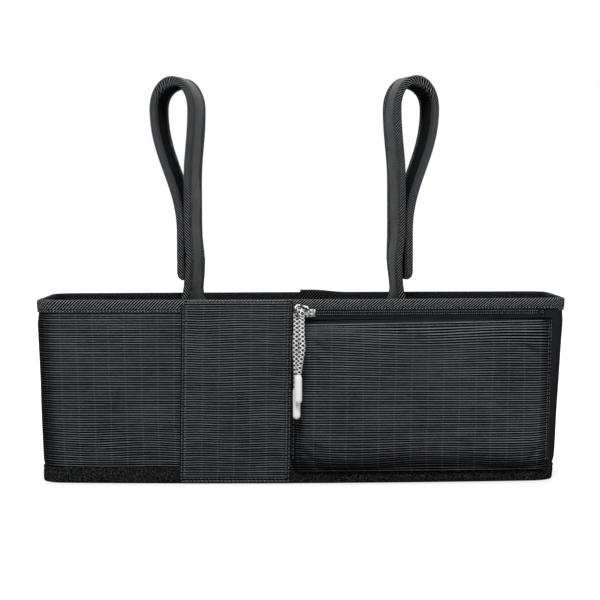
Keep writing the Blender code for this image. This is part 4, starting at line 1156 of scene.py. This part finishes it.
def strap_frames(side):
    """Centre, width direction and inward direction at each station of a strap; side is -1 or 1."""
    axis_x = STRAP_SHIFT + side * STRAP_SPACING / 2
    stations = [(z, 0.0, math.pi / 2) for z in np.linspace(STRAP_FOOT_Z, STRAP_FLAT_Z, 8)[:-1]]
    for share in np.linspace(0.0, 1.0, 41)[:-1]:
        turn = math.pi / 2 + (STRAP_YAW + BASE_TURN[side] - math.pi / 2) * soft_steps(share, 0.0, 1.0)
        stations.append((STRAP_FLAT_Z + (STRAP_TURNED_Z - STRAP_FLAT_Z) * share, 0.0, turn))
    for outward, z in loop_route():
        turn = STRAP_YAW
        if abs(outward) < LAYER_STEP / 2:
            outward -= 0.0016 * bump(z, 0.152, 0.014)
            turn += BASE_TURN[side] * (1 - soft_steps(z, STRAP_TURNED_Z, 0.045))
        stations.append((z, outward, turn))
    seam_z = WALL_TOP_Z - 0.0076
    places = []
    for z, outward, turn in stations:
        wall_z = min(z, BODY_HEIGHT)
        share = min(1.0, max(0.0, (wall_z - STRAP_FLAT_Z) / (seam_z - STRAP_FLAT_Z)))
        clearance = GAP + (RIM_TAPE_THICKNESS + 2 * GAP) * share
        depth = STRAP_WIDTH / 2 * math.cos(turn) + STRAP_THICKNESS / 2 * math.sin(turn)
        spread = STRAP_WIDTH / 2 * math.sin(turn)
        wall = float(rear_y(abs(axis_x) + spread, wall_z, -WALL_THICKNESS))
        across = Vector((side * math.cos(STRAP_YAW), math.sin(STRAP_YAW), 0.0))
        centre = Vector((axis_x, wall - clearance - depth, z)) + across * outward
        places.append((centre, Vector((side * math.sin(turn), -math.cos(turn), 0.0))))
    frames = []
    for index, (centre, width) in enumerate(places):
        before = places[max(0, index - 1)][0]
        after = places[min(len(places) - 1, index + 1)][0]
        frames.append((centre, width, (side * (after - before).normalized().cross(width)).normalized()))
    return frames


def band_mesh(frames, loop, flip):
    """Closed band whose section, given for a station's number, is a ring of (across, inward) points."""
    rings = [[centre + width * across + inward * depth for across, depth in loop(index)]
             for index, (centre, width, inward) in enumerate(frames)]
    along = run_lengths([centre for centre, _, _ in frames])
    round_way = run_lengths(rings[0] + rings[0][:1])
    return swept_mesh(rings, lambda ring, turn: (along[ring], round_way[turn]), flip)


def build_strap(label, side):
    """Padded band, taped edges, hook and loop tapes, and the stitches along the tapes."""
    label += "_strap_"
    frames = strap_frames(side)
    half = STRAP_WIDTH / 2
    thick = STRAP_THICKNESS / 2
    flip = side > 0
    centres = run_lengths([centre for centre, _, _ in frames])
    total = centres[-1]
    crown_at = centres[max(range(len(frames)), key=lambda index: frames[index][0].z)]

    def shaped(index, across, depth):
        """Depth of a section's point: sagged under the crown, pleated beside it, round at the free end."""
        past_crown = centres[index] - crown_at
        if depth > 0:
            depth += 0.0030 * bump(past_crown, 0.004, 0.010)
            pleat = bump(past_crown, 0.013, 0.0085) * soft_steps(across, -half * 0.2, half * 0.8)
            depth += 0.0009 * pleat * math.sin(past_crown * 2 * math.pi / 0.0042)
        to_end = (total - centres[index]) / 0.0065
        if to_end < 1:
            height = math.sqrt(max(0.0, 1 - (1 - to_end) ** 2))
            depth = thick - (thick - depth) * (0.25 + 0.75 * height)
        return depth

    def pad_loop(index):
        plump = 0.00035 * (math.sin(centres[index] * 190 + side) + math.sin(centres[index] * 71 + 2 * side))
        points = []
        for share in np.linspace(-1, 1, PAD_POINTS):
            depth = thick * (0.62 + 0.30 * (1 - abs(share) ** 3.0)) + plump * (1 - share ** 2)
            points.append((share * (half - 0.0012), depth))
        outer = [(across, shaped(index, across, -depth)) for across, depth in points]
        return outer + [(across, shaped(index, across, depth)) for across, depth in points[::-1]]

    pad = band_mesh(frames, pad_loop, not flip)
    add_piece(label + "padding", pad, "strap_cloth", (label + "pad",))
    pad.materials.append(FINISHES["lining_cloth"])
    section = 2 * PAD_POINTS
    for face in pad.polygons[:(len(frames) - 1) * section]:
        face.material_index = int(face.index % section >= PAD_POINTS)

    skin = 0.0006
    round_off = 0.0016
    outer = [(half - EDGE_COVER, thick - 0.0001), (half - EDGE_COVER * 0.72, thick - 0.0004),
             (half - EDGE_COVER * 0.45, thick), (half - round_off, thick)]
    for angle in np.linspace(0, math.pi / 2, 5)[1:]:
        across = half - round_off + round_off * math.sin(angle)
        outer.append((across, thick - round_off + round_off * math.cos(angle)))
    outer += [(across, -depth) for across, depth in outer[::-1]]
    inner = [(across - skin if across > half - round_off else across, math.copysign(abs(depth) - skin, depth))
             for across, depth in outer]
    items = []
    for edge, sign in (("front", 1), ("rear", -1)):
        def edge_loop(index, sign=sign):
            turn = math.sin(centres[index] * 900) * 0.5 + math.sin(centres[index] * 517 + 1.3) * 0.5
            ring = [(across + 0.00012 * turn, depth) for across, depth in outer] + inner[::-1]
            return [(sign * across, shaped(index, sign * across, depth)) for across, depth in ring]

        mesh = band_mesh(frames, edge_loop, flip == (sign > 0))
        add_piece(label + "binding_" + edge, mesh, "edge_tape", (label + "edge_" + edge,))
        at = sign * (half - EDGE_COVER * 0.72)
        for face in (-1, 1):
            route = [centre + width * at + inward * shaped(index, at, face * (thick - 0.00035))
                     for index, (centre, width, inward) in enumerate(frames)]
            items += stitches(route, lambda index, face=face: frames[index][2] * face)
    capsules(label + "stitches", items)

    def tape_loop(index):
        across = np.linspace(-1, 1, 7) * (half - EDGE_COVER - 0.0003)
        low = [(share, thick * 0.80) for share in across]
        return low + [(share, thick + 0.0001) for share in across[::-1]]

    covered = [index for index, travel in enumerate(centres) if travel > total - HOOK_LENGTH]
    first = len(frames) - len(loop_route())
    for name, node, stretch in (("hook", "hook_tape", frames[covered[0]:-1]),
                                ("pile", "loop_tape", frames[first:first + 24])):
        add_piece(label + name, band_mesh(stretch, tape_loop, flip), "fastener_cloth", (label + node,))


def build_dividers():
    """Padded dividers beside the cup spaces, taped along the top."""
    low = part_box("base_board")[1].z + GAP
    items = []
    for label, side in (("left_", -1), ("right_", 1)):
        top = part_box(label + "divider_tape")[1].z
        heights = np.linspace(low, top - 0.0013, 26)
        share, z = np.meshgrid(np.linspace(0.0, 1.0, 40), heights)
        edge = soft_steps(share, 0.0, 0.12) * soft_steps(1 - share, 0.0, 0.12)
        edge = edge * soft_steps(top - z, 0.007, 0.02)
        x = side * (DIVIDER_X - DIVIDER_BOW * 4 * share * (1 - share))
        y_front = front(x, z, -WALL_THICKNESS - GAP)[..., 1]
        y = y_front + (rear_y(x, z, -WALL_THICKNESS - GAP) - y_front) * share
        plump = DIVIDER_THICKNESS / 2 - 0.0003 + 0.0010 * edge + ripple(y * 3, z, 0.0001) * edge
        face = np.stack([x + plump, y, z], axis=-1)
        back = np.stack([x - plump, y, z], axis=-1)
        along = run_lengths(face[10])
        node = (label + "cup_divider",)
        add_sheet(label + "divider_padding", "lining_cloth", face, back, along, heights, node)
        half = DIVIDER_THICKNESS / 2 + 0.0013
        drop = 0.0085
        outer = [(half - 0.0003, top - drop), (half, top - drop * 0.6), (half, top - half)]
        outer += [(half * math.cos(angle), top - half + half * math.sin(angle))
                  for angle in np.linspace(0, math.pi, 9)[1:-1]]
        outer += [(-half, top - half), (-half, top - drop * 0.6), (-half + 0.0003, top - drop)]
        inner = [(across * 0.72, min(height, top - 0.0012)) for across, height in outer]
        face, back = [np.array([np.stack([x[0] + across, y[-1], np.full(len(along), height)], axis=-1)
                                for across, height in profile]) for profile in (outer, inner)]
        up = run_lengths(face[:, 10])
        node = (label + "divider_tape",)
        add_sheet(label + "divider_binding", "edge_tape", face[:, ::-1], back[:, ::-1], along, up, node)
        items += stitches(face[1], Vector((1.0, 0.0, 0.0))) + stitches(face[-2], Vector((-1.0, 0.0, 0.0)))
    capsules("divider_stitches", items)


def build_camera():
    """Camera at the photograph's viewing angle."""
    camera = bpy.data.objects.new("camera", bpy.data.cameras.new("camera"))
    camera.data.lens = CAMERA_LENS
    camera.data.sensor_width = 36.0
    camera.data.clip_end = 20.0
    camera.location = CAMERA_PLACE
    turn = (Matrix.Rotation(CAMERA_YAW, 3, "Z") @ Matrix.Rotation(math.pi / 2 - CAMERA_DOWN, 3, "X")
            @ Matrix.Rotation(CAMERA_ROLL, 3, "Z"))
    camera.rotation_euler = turn.to_euler()
    bpy.context.scene.collection.objects.link(camera)
    bpy.context.scene.camera = camera


def lamp(name, place, target_z, size, power):
    """Soft lamp that points at the middle of the bag at the target's height."""
    light = bpy.data.lights.new(name, "AREA")
    light.shape = "RECTANGLE"
    light.size, light.size_y = size
    light.energy = power
    piece = bpy.data.objects.new(name, light)
    piece.location = place
    piece.rotation_euler = (Vector((0.0, 0.0, target_z)) - Vector(place)).to_track_quat("-Z", "Y").to_euler()
    bpy.context.scene.collection.objects.link(piece)


def build_floor():
    """White floor that glows for the camera, and less so close to the bag's foot, as a painted shadow."""
    mesh = bpy.data.meshes.new("floor")
    shape = bmesh.new()
    bmesh.ops.create_grid(shape, x_segments=1, y_segments=1, size=6.0)
    shape.to_mesh(mesh)
    shape.free()
    floor = bpy.data.objects.new("floor", mesh)
    floor.location.z = -0.0001
    bpy.context.scene.collection.objects.link(floor)
    finish = Finish("floor", 0.9, Base_Color=(0.35, 0.35, 0.35, 1.0))
    away = finish.solid_place()
    for operation, second in (("ABSOLUTE", ORIGIN), ("SUBTRACT", BASE_HALF), ("MAXIMUM", ORIGIN)):
        away = finish.add("ShaderNodeVectorMath", {0: away, 1: second}, operation=operation)
    away = finish.add("ShaderNodeVectorMath", {0: away}, "Value", operation="LENGTH")
    # Painted shadow: the glow is weaker close to the bag's foot
    glow = finish.add("ShaderNodeEmission", {"Color": WHITE, "Strength": away.blend(0.005, 0.050, 0.62, 1.0)})
    matte = Value(finish, finish.shader.outputs[0])
    glowing = finish.add("ShaderNodeAddShader", {0: matte, 1: glow})
    seen = finish.rays("Is Camera Ray", "Is Glossy Ray")
    choice = finish.add("ShaderNodeMixShader", {0: seen, 1: matte, 2: glowing})
    finish.feed(finish.tree.nodes["Material Output"].inputs["Surface"], choice)
    mesh.materials.append(finish.material)


def build_world():
    """World that looks white to the camera and lights the scene only softly."""
    world = bpy.data.worlds.new("studio")
    world.use_nodes = True
    bpy.context.scene.world = world
    nodes = Nodes(world.node_tree)
    dim = world.node_tree.nodes["Background"]
    nodes.feed(dim.inputs["Color"], WHITE)
    nodes.feed(dim.inputs["Strength"], 0.15)
    soft = Value(nodes, dim.outputs[0])
    white = nodes.add("ShaderNodeBackground", {"Color": WHITE, "Strength": 1.0})
    seen = nodes.rays("Is Camera Ray", "Is Glossy Ray", "Is Transmission Ray")
    choice = nodes.add("ShaderNodeMixShader", {0: seen, 1: soft, 2: white})
    nodes.feed(world.node_tree.nodes["World Output"].inputs["Surface"], choice)


def main():
    """Builds the bag, then the studio round it."""
    bpy.context.scene.view_settings.view_transform = "Standard"
    build_camera()
    build_cord()
    build_front_cloth()
    build_side_cloth("wall_right_cloth", 1.01, 3.98, "right_side_wall")
    build_side_cloth("wall_rear_cloth", 4.0, 5.0, "rear_wall")
    build_side_cloth("wall_left_cloth", 5.02, 7.0, "left_side_wall")
    build_lining()
    build_base()
    build_band()
    capsules("rim_stitches", build_rim_tape())
    capsules("panel_stitches", build_centre_panel())
    capsules("pocket_stitches", build_pocket())
    capsules("zip_stitches", build_zip())
    build_metal()
    build_strap("left", -1)
    build_strap("right", 1)
    build_dividers()
    build_floor()
    build_world()
    lamp("key", (-0.15, -1.35, 1.50), 0.08, (0.7, 0.5), 25.0)
    lamp("fill", (0.8, -1.4, 1.0), 0.08, (0.9, 0.9), 4.0)
    lamp("left", (-1.6, 0.2, 0.9), 0.08, (0.9, 0.9), 5.0)
    lamp("right", (1.6, 0.2, 0.9), 0.08, (0.9, 0.9), 5.0)
    lamp("top", (0.0, 0.1, 1.6), 0.1, (1.6, 0.8), 7.0)
    lamp("back", (0.0, 1.6, 1.0), 0.1, (1.4, 0.7), 11.0)


main()
